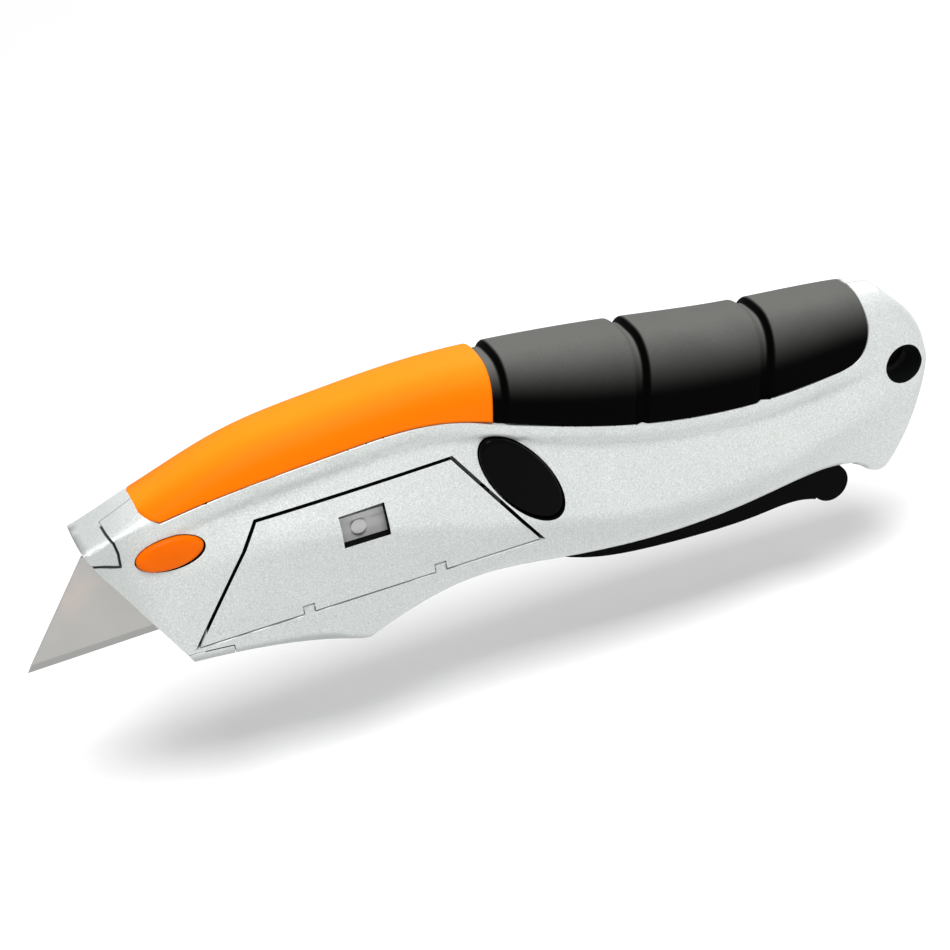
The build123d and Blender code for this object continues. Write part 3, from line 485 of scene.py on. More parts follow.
# ------------------------------------------------------------------ shader graphs
class Wire:
    """A number in a material's graph; arithmetic on it adds Math nodes."""

    def __init__(self, graph: "Graph", socket: bpy.types.NodeSocket) -> None:
        """Keep the graph and the output socket that carries the number."""
        self.graph = graph
        self.socket = socket

    def math(self, operation: str, *values: "Wire | float") -> "Wire":
        """Add one Math node that works on this number and the given ones.

        Args:
            operation: Operation of the node.
            *values: Its other inputs.

        Returns:
            The result.
        """
        inputs = {0: self, **{i + 1: value for i, value in enumerate(values)}}
        node = self.graph.add("ShaderNodeMath", {"operation": operation}, inputs)
        return Wire(self.graph, node.outputs[0])

    def __add__(self, other: "Wire | float") -> "Wire":
        """Sum."""
        return self.math("ADD", other)

    def __radd__(self, other: float) -> "Wire":
        """Sum with a plain number in front."""
        return self.math("ADD", other)

    def __sub__(self, other: "Wire | float") -> "Wire":
        """Difference."""
        return self.math("SUBTRACT", other)

    def __rsub__(self, other: float) -> "Wire":
        """A plain number less this one: -1 times this, plus the number."""
        return self.math("MULTIPLY_ADD", -1.0, other)

    def __mul__(self, other: "Wire | float") -> "Wire":
        """Product."""
        return self.math("MULTIPLY", other)

    def __rmul__(self, other: float) -> "Wire":
        """Product with a plain number in front."""
        return self.math("MULTIPLY", other)

    def __truediv__(self, other: "Wire | float") -> "Wire":
        """Quotient."""
        return self.math("DIVIDE", other)

    def abs(self) -> "Wire":
        """Size without the sign."""
        return self.math("ABSOLUTE")

    def ease(self, low: float, high: float) -> "Wire":
        """Ease from 0 at low to 1 at high.

        Args:
            low: Value at which the result is 0.
            high: Value at which it is 1.

        Returns:
            The eased number.
        """
        node = self.graph.add("ShaderNodeMapRange", {"interpolation_type": "SMOOTHSTEP"},
                              {"Value": self, "From Min": low, "From Max": high})
        return Wire(self.graph, node.outputs["Result"])


class Graph:
    """The node graph of one finish, built round a Principled shader."""

    def __init__(self, name: str) -> None:
        """Make the material and take its shader.

        Args:
            name: Name of the material.
        """
        self.material = bpy.data.materials.new(name)
        self.material.use_nodes = True
        self.tree = self.material.node_tree
        self.shader = next(n for n in self.tree.nodes if n.type == "BSDF_PRINCIPLED")
        place = self.add("ShaderNodeTexCoord")
        self.place = place.outputs["Object"]

    def add(self, kind: str, settings: dict | None = None, inputs: dict | None = None
            ) -> bpy.types.Node:
        """Add a node.

        Args:
            kind: Type of the node.
            settings: Properties of the node; "curve" is a curve's (place, value) pairs.
            inputs: Values or links of its sockets, by name or number.

        Returns:
            The new node.
        """
        node = self.tree.nodes.new(kind)
        for key, value in (settings or {}).items():
            if key == "curve":
                self.set_curve(node.mapping, value)
            else:
                setattr(node, key, value)
        for key, value in (inputs or {}).items():
            self.feed(node.inputs[key], value)
        return node

    @staticmethod
    def set_curve(mapping: bpy.types.CurveMapping, pairs: list) -> None:
        """Give a curve its points, first and last on the two that it has.

        Args:
            mapping: Mapping of a float curve node.
            pairs: Rising (place, value) pairs.
        """
        points = mapping.curves[0].points
        points[0].location, points[-1].location = pairs[0], pairs[-1]
        for place, value in pairs[1:-1]:
            points.new(place, value)
        mapping.update()

    def feed(self, socket: bpy.types.NodeSocket, value: object) -> None:
        """Link a socket to a wire or an output, or set its plain value.

        Args:
            socket: Input to feed.
            value: Wire, output socket, colour or number.
        """
        if isinstance(value, Wire):
            self.tree.links.new(value.socket, socket)
        elif isinstance(value, bpy.types.NodeSocket):
            self.tree.links.new(value, socket)
        elif isinstance(value, tuple) and len(value) == 3 and socket.type == "RGBA":
            socket.default_value = (*value, 1.0)
        else:
            socket.default_value = value

    def noise(self, size: float, detail: float = 2.0, roughness: float = 0.5,
              at: bpy.types.NodeSocket | None = None) -> Wire:
        """Noise with grains of about the given size in metres.

        Args:
            size: Size of the grains.
            detail: Number of finer layers.
            roughness: Strength of the finer layers.
            at: Coordinates, or None for the object's own.

        Returns:
            The noise, from 0 to 1.
        """
        node = self.add("ShaderNodeTexNoise", {},
                        {"Vector": at or self.place, "Scale": 1.0 / size, "Detail": detail,
                         "Roughness": roughness})
        return Wire(self, node.outputs["Fac"])

    def stretched(self, scale: tuple[float, float, float]) -> bpy.types.NodeSocket:
        """Object coordinates stretched along the axes."""
        node = self.add("ShaderNodeMapping", {}, {"Vector": self.place, "Scale": scale})
        return node.outputs["Vector"]

    def axis(self, name: str) -> Wire:
        """One of the object coordinates, in metres."""
        node = self.add("ShaderNodeSeparateXYZ", {}, {"Vector": self.place})
        return Wire(self, node.outputs[name])

    def attribute(self, name: str) -> Wire:
        """A number that the mesh carries at its points or corners."""
        node = self.add("ShaderNodeAttribute", {"attribute_name": name})
        return Wire(self, node.outputs["Fac"])

    def mix(self, share: Wire | float, a: object, b: object) -> bpy.types.NodeSocket:
        """Colour between two colours."""
        node = self.add("ShaderNodeMix", {"data_type": "RGBA"}, {0: share, 6: a, 7: b})
        return node.outputs[2]

    def relief(self, height: Wire, depth: float, strength: float = 1.0) -> None:
        """Bump the surface by a height in metres.

        Args:
            height: Height of the surface.
            depth: Metres for one unit of height.
            strength: Share of the relief that is used.
        """
        node = self.add("ShaderNodeBump", {}, {"Height": height, "Distance": depth,
                                               "Strength": strength})
        self.tree.links.new(node.outputs["Normal"], self.shader.inputs["Normal"])

    def finish(self, **values: object) -> bpy.types.Material:
        """Feed the shader's sockets, named with underscores for spaces, and give the material.

        Args:
            **values: Wires, sockets, colours or numbers by the names of the sockets.

        Returns:
            The material.
        """
        for key, value in values.items():
            self.feed(self.shader.inputs[key.replace("_", " ")], value)
        return self.material


# ------------------------------------------------------------------ finishes
@dataclass(frozen=True)
class SilverPaint:
    """Silver lacquer with fine metal flakes on the cast shells.

    The mesh's "inside" is 1 on faces behind the outside, which are painted nearly black as
    painted shade, as is the cord hole. ``hole`` is the cord hole's middle and radius, and ``cap``
    runs along the seam of the nose's cap. Lengths are in metres, and only ``keel_ends`` and
    ``keel_low`` in drawing millimetres, as the outline is.
    """

    colour: tuple[float, float, float] = (0.46, 0.49, 0.475)
    bright: tuple[float, float, float] = (0.76, 0.785, 0.775)
    # Darker colour for the painted shade at the keel and for the darkening towards the nose.
    shade: tuple[float, float, float] = (0.36, 0.385, 0.375)
    # Near black for dark joints, and for painted shade in gaps, hollows and the cord hole.
    hollow: tuple[float, float, float] = (0.006, 0.007, 0.007)
    flake: float = 0.00028
    metallic: float = 0.2
    roughness: float = 0.42
    edge: float = 0.0016
    turn: float = 0.12
    nose_darkening: tuple[float, float] = (-0.0705, -0.0625)
    keel_ends: tuple[float, float] = (28.0, 163.2)
    keel_low: float = -20.0
    seam_width: tuple[float, float] = (0.00008, 0.00018)
    seam_start: tuple[float, float] = (-0.0702, -0.0698)
    hole: tuple[float, float, float] = (0.0825, 0.0250, 0.00386)
    cap_width: tuple[float, float] = (0.00016, 0.00034)
    cap: tuple[tuple[float, float], ...] = ((-0.07030, 0.04230), (-0.06925, 0.04080),
                                            (-0.06895, 0.03860), (-0.06915, 0.03625),
                                            (-0.07480, 0.03785))

    def make(self) -> bpy.types.Material:
        """Flakes scatter the colour and the roughness, and a faint swell breaks up the gloss.

        Near the keel the surface turns under: a bump whose depth grows with the square of the
        way into the edge, and a darker strip of painted shade. The paint also darkens towards the
        nose. The seam on top is a dark line at Y = 0.

        Returns:
            The material.
        """
        graph = Graph("silver_paint")
        flakes = graph.noise(self.flake, 3.0, 0.7)
        swell = graph.noise(0.012, 2.0)
        share = flakes.ease(0.3, 0.75) * 0.8 + swell * 0.2
        colour = graph.mix(share, self.colour, self.bright)
        above = self.above_keel(graph)
        # Painted shade: a darker strip where the surface turns under at the keel.
        keel_shade = 1.0 - above.ease(0.2 * self.edge, self.edge)
        # The paint darkens towards the nose.
        nose = 1.0 - graph.axis("X").ease(*self.nose_darkening)
        colour = graph.mix(keel_shade * 0.75 + nose * 0.45, colour, self.shade)
        colour = graph.mix(self.seam(graph), colour, self.hollow)
        # Painted shade: faces behind the outside and the cord hole go nearly black, fully metallic
        # and rougher; the nose cap's seam is a dark joint.
        dark = graph.attribute("inside").math("MAXIMUM", self.cord_hole(graph))
        dark = dark.math("MAXIMUM", self.cap_seam(graph))
        colour = graph.mix(dark, colour, self.hollow)
        turned = (self.edge - above).math("MAXIMUM", 0.0)
        graph.relief(flakes * 0.000015 - turned * turned * (self.turn / self.edge), 1.0, 0.9)
        return graph.finish(Base_Color=colour,
                            Metallic=dark * (1.0 - self.metallic) + self.metallic,
                            Roughness=(flakes - 0.5) * 0.35 + self.roughness + dark * 0.4)

    def above_keel(self, graph: Graph) -> Wire:
        """Height above the keel, read from a curve of its heights over its length.

        Args:
            graph: Graph of the material.

        Returns:
            Height in metres.
        """
        line = SIDE_VIEW.dense(SIDE_VIEW.belly + SIDE_VIEW.keel[1:])
        places = np.linspace(0.0, 1.0, 28)
        start, end = self.keel_ends
        heights = np.interp(start + (end - start) * places, line[:, 0], line[:, 1])
        curve = list(zip(places.tolist(), (1.0 - heights / self.keel_low).tolist()))
        along = (graph.axis("X") - (start + TO_FRAME[0]) * MM) / ((end - start) * MM)
        node = graph.add("ShaderNodeFloatCurve", {"curve": curve}, {"Value": along})
        height = Wire(graph, node.outputs["Value"]) * (-self.keel_low * MM)
        return graph.axis("Z") - (self.keel_low + TO_FRAME[2]) * MM - height

    def seam(self, graph: Graph) -> Wire:
        """Share of the seam's dark line between the shells, behind the nose."""
        line = 1.0 - graph.axis("Y").abs().ease(*self.seam_width)
        return line * graph.axis("X").ease(*self.seam_start) * 0.55

    def cap_seam(self, graph: Graph) -> Wire:
        """Share of the dark seam round the nose's cap on the door side.

        The distance to a run from a to b is that to a + s (b - a), where s is the share of the
        run below the point, held between 0 and 1; the least over the runs counts.

        Args:
            graph: Graph of the material.

        Returns:
            Share of the dark line, 0 to 0.9.
        """
        x, z = graph.axis("X"), graph.axis("Z")
        near = x * 0.0 + 1.0
        for (ax, az), (bx, bz) in zip(self.cap, self.cap[1:]):
            dx, dz = bx - ax, bz - az
            along = ((x - ax) * dx + (z - az) * dz) * (1.0 / (dx * dx + dz * dz))
            along = along.math("MAXIMUM", 0.0).math("MINIMUM", 1.0)
            across, up = x - ax - along * dx, z - az - along * dz
            near = near.math("MINIMUM", (across * across + up * up).math("SQRT"))
        door_side = 1.0 - graph.axis("Y").ease(-0.002, -0.001)
        return (1.0 - near.ease(*self.cap_width)) * door_side * 0.9

    def cord_hole(self, graph: Graph) -> Wire:
        """Share of painted shade inside the cord hole, by the distance from its axis.

        Args:
            graph: Graph of the material.

        Returns:
            One in the hole and 0 outside it.
        """
        x, z, radius = self.hole
        across, up = graph.axis("X") - x, graph.axis("Z") - z
        away = (across * across + up * up).math("SQRT")
        return 1.0 - away.ease(radius, radius + 0.00004)


@dataclass(frozen=True)
class Rubber:
    """Soft moulded rubber with a fine matt grain and a few specks.

    The mesh's attribute for the painted highlight is 1 on top, where a paler colour is painted in
    for the light from above, and 0 on its sides.
    """

    name: str
    colour: tuple[float, float, float]
    # Paler colour painted on the top as a highlight.
    painted_top_light: tuple[float, float, float]
    roughness: float = 0.5
    grain: float = 0.00035
    gloss: float = 0.5

    def make(self) -> bpy.types.Material:
        """Fine grain in the relief, a cloudy painted highlight on top, and small pale specks in it.

        Returns:
            The material.
        """
        graph = Graph(self.name)
        grain = graph.noise(self.grain, 3.0, 0.6)
        cloud = graph.noise(0.006, 3.0)
        # Painted highlight: the top is mixed towards the paler colour, cloudy and grainy; the
        # specks show only there.
        pale = graph.attribute("painted_top_light") * (0.72 + cloud * 0.25 + grain * 0.3)
        specks = grain.ease(0.66, 0.74) * 0.25
        colour = graph.mix((pale + specks * graph.attribute("painted_top_light")).math("MINIMUM", 1.0),
                           self.colour, self.painted_top_light)
        graph.relief(grain, 0.00004, 0.6)
        return graph.finish(Base_Color=colour, Roughness=(grain - 0.5) * 0.3 + self.roughness,
                            Specular_IOR_Level=self.gloss)


@dataclass(frozen=True)
class Plastic:
    """Moulded plastic with a light spark-eroded texture."""

    name: str
    colour: tuple[float, float, float]
    roughness: float = 0.35
    texture: float = 0.0004
    depth: float = 0.00002
    gloss: float = 0.5

    def make(self) -> bpy.types.Material:
        """Small relief all over, and a cloudy change of colour and roughness.

        Returns:
            The material.
        """
        graph = Graph(self.name)
        texture = graph.noise(self.texture, 2.0)
        cloud = graph.noise(0.007, 2.0)
        dark = tuple(0.8 * channel for channel in self.colour)
        graph.relief(texture, self.depth, 0.5)
        return graph.finish(Base_Color=graph.mix(cloud, dark, self.colour),
                            Roughness=(cloud - 0.5) * 0.15 + self.roughness,
                            Specular_IOR_Level=self.gloss)


@dataclass(frozen=True)
class GroundBlade:
    """Rolled blade steel with a ground bevel along the cutting edge."""

    colour: tuple[float, float, float] = (0.37, 0.37, 0.355)
    cloudy: tuple[float, float, float] = (0.42, 0.41, 0.395)
    bevel: tuple[float, float, float] = (0.33, 0.33, 0.32)
    warm: tuple[float, float, float] = (0.50, 0.42, 0.38)
    edge_height: float = 0.0174
    bevel_height: float = 0.0015
    warm_at: tuple[float, float] = (-0.0785, 0.0310)

    def make(self) -> bpy.types.Material:
        """Grinding lines run across the bevel, rolling lines along the flat.

        Returns:
            The material.
        """
        graph = Graph("blade_steel")
        height = graph.axis("Z") - self.edge_height
        flat = height.ease(self.bevel_height * 0.94, self.bevel_height * 1.06)
        rolled = graph.noise(0.0003, 3.0, 0.6, graph.stretched((0.08, 1.0, 1.0)))
        ground = graph.noise(0.0002, 3.0, 0.6, graph.stretched((1.0, 1.0, 0.06)))
        lines = rolled * flat + ground * (1.0 - flat)
        cloud = graph.noise(0.006, 2.0)
        rolled_colour = graph.mix(cloud, self.colour, self.cloudy)
        x, z = self.warm_at
        away = (graph.axis("X") - x).abs() + (graph.axis("Z") - z).abs()
        tint = (1.0 - away.ease(0.002, 0.0085)) * cloud.ease(0.3, 0.5) * 0.5
        rolled_colour = graph.mix(tint, rolled_colour, self.warm)
        colour = graph.mix(flat, self.bevel, rolled_colour)
        graph.relief(lines, 0.00002, 0.4)
        return graph.finish(Base_Color=colour, Metallic=1.0, Roughness=lines * 0.25 + 0.22)


@dataclass(frozen=True)
class BareMetal:
    """Bare metal: turned pins, wire, sheet or a casting."""

    name: str
    colour: tuple[float, float, float]
    roughness: float = 0.28
    streak: tuple[float, float, float] = (1.0, 0.15, 1.0)

    def make(self) -> bpy.types.Material:
        """Fine streaks along one axis change the roughness and the relief.

        Returns:
            The material.
        """
        graph = Graph(self.name)
        lines = graph.noise(0.0004, 3.0, 0.6, graph.stretched(self.streak))
        cloud = graph.noise(0.003, 2.0)
        dull = tuple(0.75 * channel for channel in self.colour)
        graph.relief(lines, 0.00002, 0.4)
        return graph.finish(Base_Color=graph.mix(cloud, dull, self.colour), Metallic=1.0,
                            Roughness=(lines - 0.5) * 0.3 + self.roughness)


@dataclass
class Finishes:
    """All the finishes of the knife, made once."""

    shell: bpy.types.Material = field(init=False)
    orange_rubber: bpy.types.Material = field(init=False)
    black_rubber: bpy.types.Material = field(init=False)
    orange_plastic: bpy.types.Material = field(init=False)
    black_plastic: bpy.types.Material = field(init=False)
    black_gloss: bpy.types.Material = field(init=False)
    pale_plastic: bpy.types.Material = field(init=False)
    blade: bpy.types.Material = field(init=False)
    steel: bpy.types.Material = field(init=False)
    zinc: bpy.types.Material = field(init=False)

    def __post_init__(self) -> None:
        """Make each material."""
        self.shell = SilverPaint().make()
        # Each rubber has its own colour and a paler colour painted on its top as a highlight.
        self.orange_rubber = Rubber("orange_rubber", (0.94, 0.180, 0.0), (0.95, 0.265, 0.008), 0.55,
                                    gloss=0.05).make()
        self.black_rubber = Rubber("black_rubber", (0.0012, 0.0012, 0.0012), (0.125, 0.125, 0.119),
                                   0.6, gloss=0.01).make()
        self.orange_plastic = Plastic("orange_plastic", (0.93, 0.15, 0.0), 0.36, gloss=0.05).make()
        self.black_plastic = Plastic("black_plastic", (0.0010, 0.0010, 0.0010), 0.5,
                                     gloss=0.03).make()
        self.black_gloss = Plastic("black_gloss", (0.0008, 0.0008, 0.0008), 0.12, 0.004, 0.00001,
                                   gloss=0.04).make()
        self.pale_plastic = Plastic("pale_plastic", (0.80, 0.81, 0.80), 0.4).make()
        self.blade = GroundBlade().make()
        self.steel = BareMetal("turned_steel", (0.62, 0.62, 0.61)).make()
        self.zinc = BareMetal("cast_zinc", (0.48, 0.49, 0.50), 0.42, (1.0, 1.0, 1.0)).make()


def dress(node: str, material: bpy.types.Material) -> None:
    """Give a carried-over CAD node its finish in all its slots.

    Args:
        node: Name of the CAD node.
        material: Its finish.
    """
    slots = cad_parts[node].data.materials
    if not slots:
        slots.append(material)
    for index in range(len(slots)):
        slots[index] = material
    log.info("%s carried over in %s", node, material.name)


# ------------------------------------------------------------------ metal case
@dataclass
class MetalCase:
    """The two cast shells and the side door.

    Edges longer than ``span`` metres are halved in so many ``rounds``. The other lengths are in
    drawing millimetres: ``on_form`` and ``on_nose`` are how far from the form a point still takes
    its normal, ``flush`` and ``shallow`` how deep an outside face may lie, and the two bands how
    near the grips' border and the lower outline every face counts as outside.
    """

    paint: bpy.types.Material
    span: float = 0.003
    rounds: int = 4
    on_form: float = 0.3
    on_nose: float = 0.7
    nose_end: float = 26.0
    flush: float = 0.2
    shallow: float = 1.3
    border_band: float = 1.5
    outline_band: float = 0.9
    facing: float = 0.86
    sharp: float = 38.0
    tail_start: float = 160.0
    hinge_x: tuple[float, float] = (29.0, 98.0)
    hinge_z: tuple[float, float] = (-3.2, 1.2)

    def smooth_copy(self, node: str, body: Body) -> bpy.types.Object:
        """Copy a CAD node and light its outside by the form's own normals.

        The copy's doubles are merged and its long edges are halved, in a few rounds, so that the
        form's normals are read at enough points. A corner takes the form's normal where its point
        lies on the form and its face looks the same way; elsewhere it keeps the mesh's own.

        Args:
            node: Name of the CAD node, which the copy replaces.
            body: The body that it moves with.

        Returns:
            The new object.
        """
        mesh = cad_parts[node].data.copy()
        mesh.name = node + "_skin"
        work = bmesh.new()
        work.from_mesh(mesh)
        bmesh.ops.remove_doubles(work, verts=work.verts, dist=2e-6)
        bmesh.ops.triangulate(work, faces=work.faces)
        for _ in range(self.rounds):
            long = [edge for edge in work.edges if edge.calc_length() > self.span]
            bmesh.ops.subdivide_edges(work, edges=long, cuts=1, use_grid_fill=True)
            bmesh.ops.triangulate(work, faces=work.faces)
        work.to_mesh(mesh)
        work.free()
        mesh.materials.clear()
        mesh.materials.append(self.paint)
        mesh.shade_smooth()
        mesh.set_sharp_from_angle(angle=math.radians(self.sharp))
        points = drawn(self.read(mesh.vertices, "co", 3))
        corners = self.read(mesh.loops, "vertex_index", 1).astype(int)
        own = self.read(mesh.corner_normals, "vector", 3)
        totals = self.read(mesh.polygons, "loop_total", 1).astype(int)
        faces = self.read(mesh.polygons, "normal", 3)
        normals, gap = FORM.normals(points)
        formed = normals[corners]
        near = np.where(points[:, 0] < self.nose_end, self.on_nose, self.on_form)[corners]
        agrees = (formed * np.repeat(faces, totals, axis=0)).sum(1) > self.facing
        chosen = agrees & (gap[corners] < near)
        # Faces behind the outside are marked for painted shade in the paint.
        inside = self.inside(drawn(self.read(mesh.polygons, "center", 3)), faces)
        mesh.attributes.new("inside", "FLOAT", "CORNER").data.foreach_set(
            "value", np.repeat(inside, totals))
        mesh.normals_split_custom_set(np.where(chosen[:, None], formed, own).tolist())
        piece = bpy.data.objects.new(node + "_skin", mesh)
        bpy.context.scene.collection.objects.link(piece)
        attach(piece, body.value)
        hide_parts(node)
        log.info("%s has %d corners on the form of %d", piece.name, chosen.sum(), len(chosen))
        return piece

    @staticmethod
    def read(items: bpy.types.bpy_prop_collection, key: str, width: int) -> Array:
        """One property of all items of a mesh as an array of rows.

        Args:
            items: Collection of the mesh, such as its vertices.
            key: Name of the property.
            width: How many numbers an item holds.

        Returns:
            Array of the numbers, flat where the width is 1.
        """
        values = np.empty(len(items) * width, np.float64 if width > 1 else np.int64)
        items.foreach_get(key, values)
        return values.reshape(-1, width) if width > 1 else values

    def inside(self, centres: Array, facing: Array) -> Array:
        """One for faces that aren't part of the outside, which the paint turns into painted shade.

        A face is outside where its middle lies on the form, or just under it and looking out,
        or near the grips' border, near the lower outline, on the nose or on the tail; the walls
        beside the hinge stay outside too, so that no line of painted shade shows there.

        Args:
            centres: Middles of the faces, as drawing points.
            facing: Normals of the faces.

        Returns:
            One or zero for each face.
        """
        _, gap = FORM.normals(centres)
        x, y, z = centres.T
        upright = facing[:, 2]
        on_form, under = gap < self.flush, gap < self.shallow
        on_nose, border = x < self.nose_end, FORM.columns(x)[:, 1]
        outside = on_form & ((np.abs(facing[:, 1]) > 0.2) | (upright > 0.3))
        outside |= under & (facing[:, 1] * np.sign(y) > 0.15)
        outside |= under & on_nose & (upright > 0.2)
        outside |= under & (z > border - self.border_band) & (upright > 0.5)
        outside |= SIDE_VIEW.distance(x, z) < self.outline_band
        outside |= (x > self.tail_start) | (on_nose & (gap < self.outline_band))
        outside |= ((x > self.hinge_x[0]) & (x < self.hinge_x[1])
                    & (z > self.hinge_z[0]) & (z < self.hinge_z[1]))
        return np.where(outside, 0.0, 1.0)

    def build(self) -> list[bpy.types.Object]:
        """Make the shells and the door."""
        places = {"left_shell": Body.CASE, "right_shell": Body.CASE, "side_door": Body.DOOR}
        return [self.smooth_copy(node, body) for node, body in places.items()]


# ------------------------------------------------------------------ rubber grips
@dataclass
class Grips:
    """The orange front grip and the black rear grip, each one closed rubber skin.

    ``rear_corner`` holds insets from ``rear`` and rises from ``rear_low``, and ``rear_high`` an
    inset and a height, along the rear grip's rear edge.
    """

    orange: bpy.types.Material
    black: bpy.types.Material
    thick: float = 2.5
    overlap: float = 0.38
    edge: float = 0.7
    lean: float = 9.0
    lean_height: float = 30.0
    front: float = 25.2
    front_low: float = 28.0
    joint: float = 90.3
    rear: float = 164.6
    collar: float = 2.8
    pitch: float = 25.4
    groove: float = 2.0
    groove_depth: float = 1.05
    groove_fall: tuple[float, float] = (-1.3, 0.6)
    groove_rise: tuple[float, float] = (-0.9, 0.45)
    wall_start: tuple[float, float] = (-1.3, -0.8)
    wall_end: float = 0.5
    rear_low: float = 10.79
    rear_corner: tuple[tuple[float, float], ...] = ((8.0, 0.0), (5.2, 0.3), (2.8, 1.15),
                                                    (1.1, 3.0), (0.1, 7.5), (0.3, 14.0))
    rear_high: tuple[float, float] = (1.4, 45.0)

    def leaning(self, x: float, z: Array) -> Array:
        """X on a leaning end face that stands at x at the height where the lean is counted."""
        return x + (z - self.lean_height) * math.tan(math.radians(self.lean))

    def front_edge(self, z: Array) -> Array:
        """X of the front grip's front edge: straight from the spine down to the border.

        Args:
            z: Heights.

        Returns:
            X at each height.
        """
        high = float(FORM.columns(self.front)[0]) - 0.6
        low = float(FORM.columns(self.front_low)[1]) - self.overlap
        share = np.clip((high - z) / (high - low), -0.3, 1.0)
        return self.front + share * (self.front_low - self.front)

    def rear_edge(self, z: Array) -> Array:
        """X of the rear grip's rear edge, round at its lower corner.

        Args:
            z: Heights.

        Returns:
            X at each height.
        """
        knots = [(self.rear - inset, self.rear_low + rise) for inset, rise in self.rear_corner]
        curve = SIDE_VIEW.dense(tuple(knots))
        heights = np.append(np.maximum.accumulate(curve[:, 1]), self.rear_high[1])
        return np.interp(z, heights, np.append(curve[:, 0], self.rear - self.rear_high[0]))

    def across(self, count: int) -> Array:
        """Ways round the section from the near border over the top to the far border."""
        low = 1.0 + self.overlap / FORM.rim
        return graded(-low, low, count, 0.25)

    def sheet(self, along: Array, ways: Array, first: object, last: object) -> tuple[Array, Array]:
        """Grid of points and normals on the shoulder between two end edges.

        The column at share u lies at x = (1 - u) first(z) + u last(z), where z is the height of
        the shoulder at that x, found by a few rounds of putting x back in.

        Args:
            along: Shares of the way from the first edge to the last one.
            ways: Ways round the section, from -1 or so to 1 or so.
            first: Function that gives X of the first edge at a height.
            last: The same for the last edge.

        Returns:
            Points and unit normals, both (rows, columns, 3).
        """
        share, way = np.meshgrid(along, ways, indexing="ij")
        turn = np.abs(way)
        x = np.full_like(share, 100.0)
        for _ in range(12):
            _, z = FORM.shoulder(x, turn)
            x = (1.0 - share) * first(z) + share * last(z)
        y, z = FORM.shoulder(x, turn)
        sign = np.where(way < 0, -1.0, 1.0)
        points = np.stack([x, sign * y, z], -1)
        flat = FORM.shoulder_normal(x.ravel(), turn.ravel(), 1.0).reshape(x.shape + (3,))
        flat[..., 1] = np.where(turn < 1e-6, 0.0, flat[..., 1] * sign)
        return points, FORM.unit(flat)

    def rounded(self, points: Array) -> Array:
        """How far each grid point sinks so that the skin's edges are round.

        Within the edge radius r of the border, a point at distance d sinks by
        r - sqrt(r^2 - (r - d)^2).

        Args:
            points: Grid of points of the skin.

        Returns:
            Depth in millimetres at each point.
        """
        along = np.linalg.norm(np.diff(points, axis=0), axis=-1)
        around = np.linalg.norm(np.diff(points, axis=1), axis=-1)
        from_front = np.concatenate([0.0 * along[:1], np.cumsum(along, axis=0)])
        from_near = np.concatenate([0.0 * around[:, :1], np.cumsum(around, axis=1)], axis=1)
        apart = np.minimum(np.minimum(from_front, from_front[-1:] - from_front),
                           np.minimum(from_near, from_near[:, -1:] - from_near))
        short = np.clip(self.edge - apart, 0.0, self.edge)
        return self.edge - np.sqrt(self.edge ** 2 - 0.98 * short ** 2)

    def grooves(self, points: Array) -> tuple[Array, Array]:
        """Depth of the grooves, and how far each point is on a pad's steep front wall.

        A pad falls gently into the groove at its rear and rises steeply at the next pad's front,
        both as smooth steps along X on the leaning planes.

        Args:
            points: Grid of points of the skin.

        Returns:
            Depth in millimetres, and share of the wall, at each point.
        """
        x = points[..., 0] - (points[..., 2] - self.lean_height) * math.tan(math.radians(self.lean))
        depth, wall = 0.0 * x, 0.0 * x
        places = [(self.joint, self.collar)]
        places += [(self.joint + self.collar + k * self.pitch, self.groove) for k in (1, 2)]
        for start, width in places:
            before, after = x - start, x - start - width
            fall = smooth_step(*self.groove_fall, before) if start > self.joint else 1.0
            rise = 1.0 - smooth_step(*self.groove_rise, after)
            depth = np.maximum(depth, fall * rise * self.groove_depth)
            steep = smooth_step(*self.wall_start, after)
            wall = np.maximum(wall, steep * (1.0 - smooth_step(0.0, self.wall_end, after)))
        return depth, wall

    def skin(self, name: str, node: str, material: bpy.types.Material, points: Array,
             normals: Array, sunk: Array, painted_top_light: Array) -> bpy.types.Object:
        """Close one grip: its outside sinks as told, and its bed lies one thickness in.

        Args:
            name: Name of the object.
            node: CAD node that it replaces.
            material: Its finish.
            points: Grid of points on the form.
            normals: Their normals.
            sunk: How far each point sinks below the form.
            painted_top_light: Share of the painted highlight at each point.

        Returns:
            The new object.
        """
        outer = points - normals * sunk[..., None]
        inner = points - normals * self.thick
        piece = make_piece(name, *slab(outer, inner), material, Body.CASE)
        values = np.concatenate([painted_top_light.ravel(), 0.0 * painted_top_light.ravel()])
        piece.data.attributes.new("painted_top_light", "FLOAT", "POINT").data.foreach_set("value", values)
        tidy_normals(piece)
        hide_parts(node)
        log.info("%s has %d faces", name, len(piece.data.polygons))
        return piece

    def build(self) -> list[bpy.types.Object]:
        """Make both grips.

        Returns:
            The two new objects.
        """
        ways = self.across(121)
        points, normals = self.sheet(graded(0.0, 1.0, 150), ways, self.front_edge,
                                     lambda z: self.leaning(self.joint, z))
        # Painted highlight on the front grip's top, fading out down its sides.
        top = np.broadcast_to(1.0 - smooth_step(0.1, 0.8, np.abs(ways)), points.shape[:2])
        front = self.skin("front_grip_skin", "front_grip", self.orange,
                          points, normals, self.rounded(points), top)
        points, normals = self.sheet(np.linspace(0.0, 1.0, 460), ways,
                                     lambda z: self.leaning(self.joint, z), self.rear_edge)
        depth, wall = self.grooves(points)
        # Painted highlight on the rear grip's top, fading down its sides; the pads' steep front
        # walls get none, as painted shade.
        top = (1.0 - smooth_step(0.15, 0.78, np.abs(ways))) * (1.0 - wall)
        rear = self.skin("rear_grip_skin", "rear_grip", self.black, points,
                         normals, np.maximum(self.rounded(points), depth), top)
        return [front, rear]


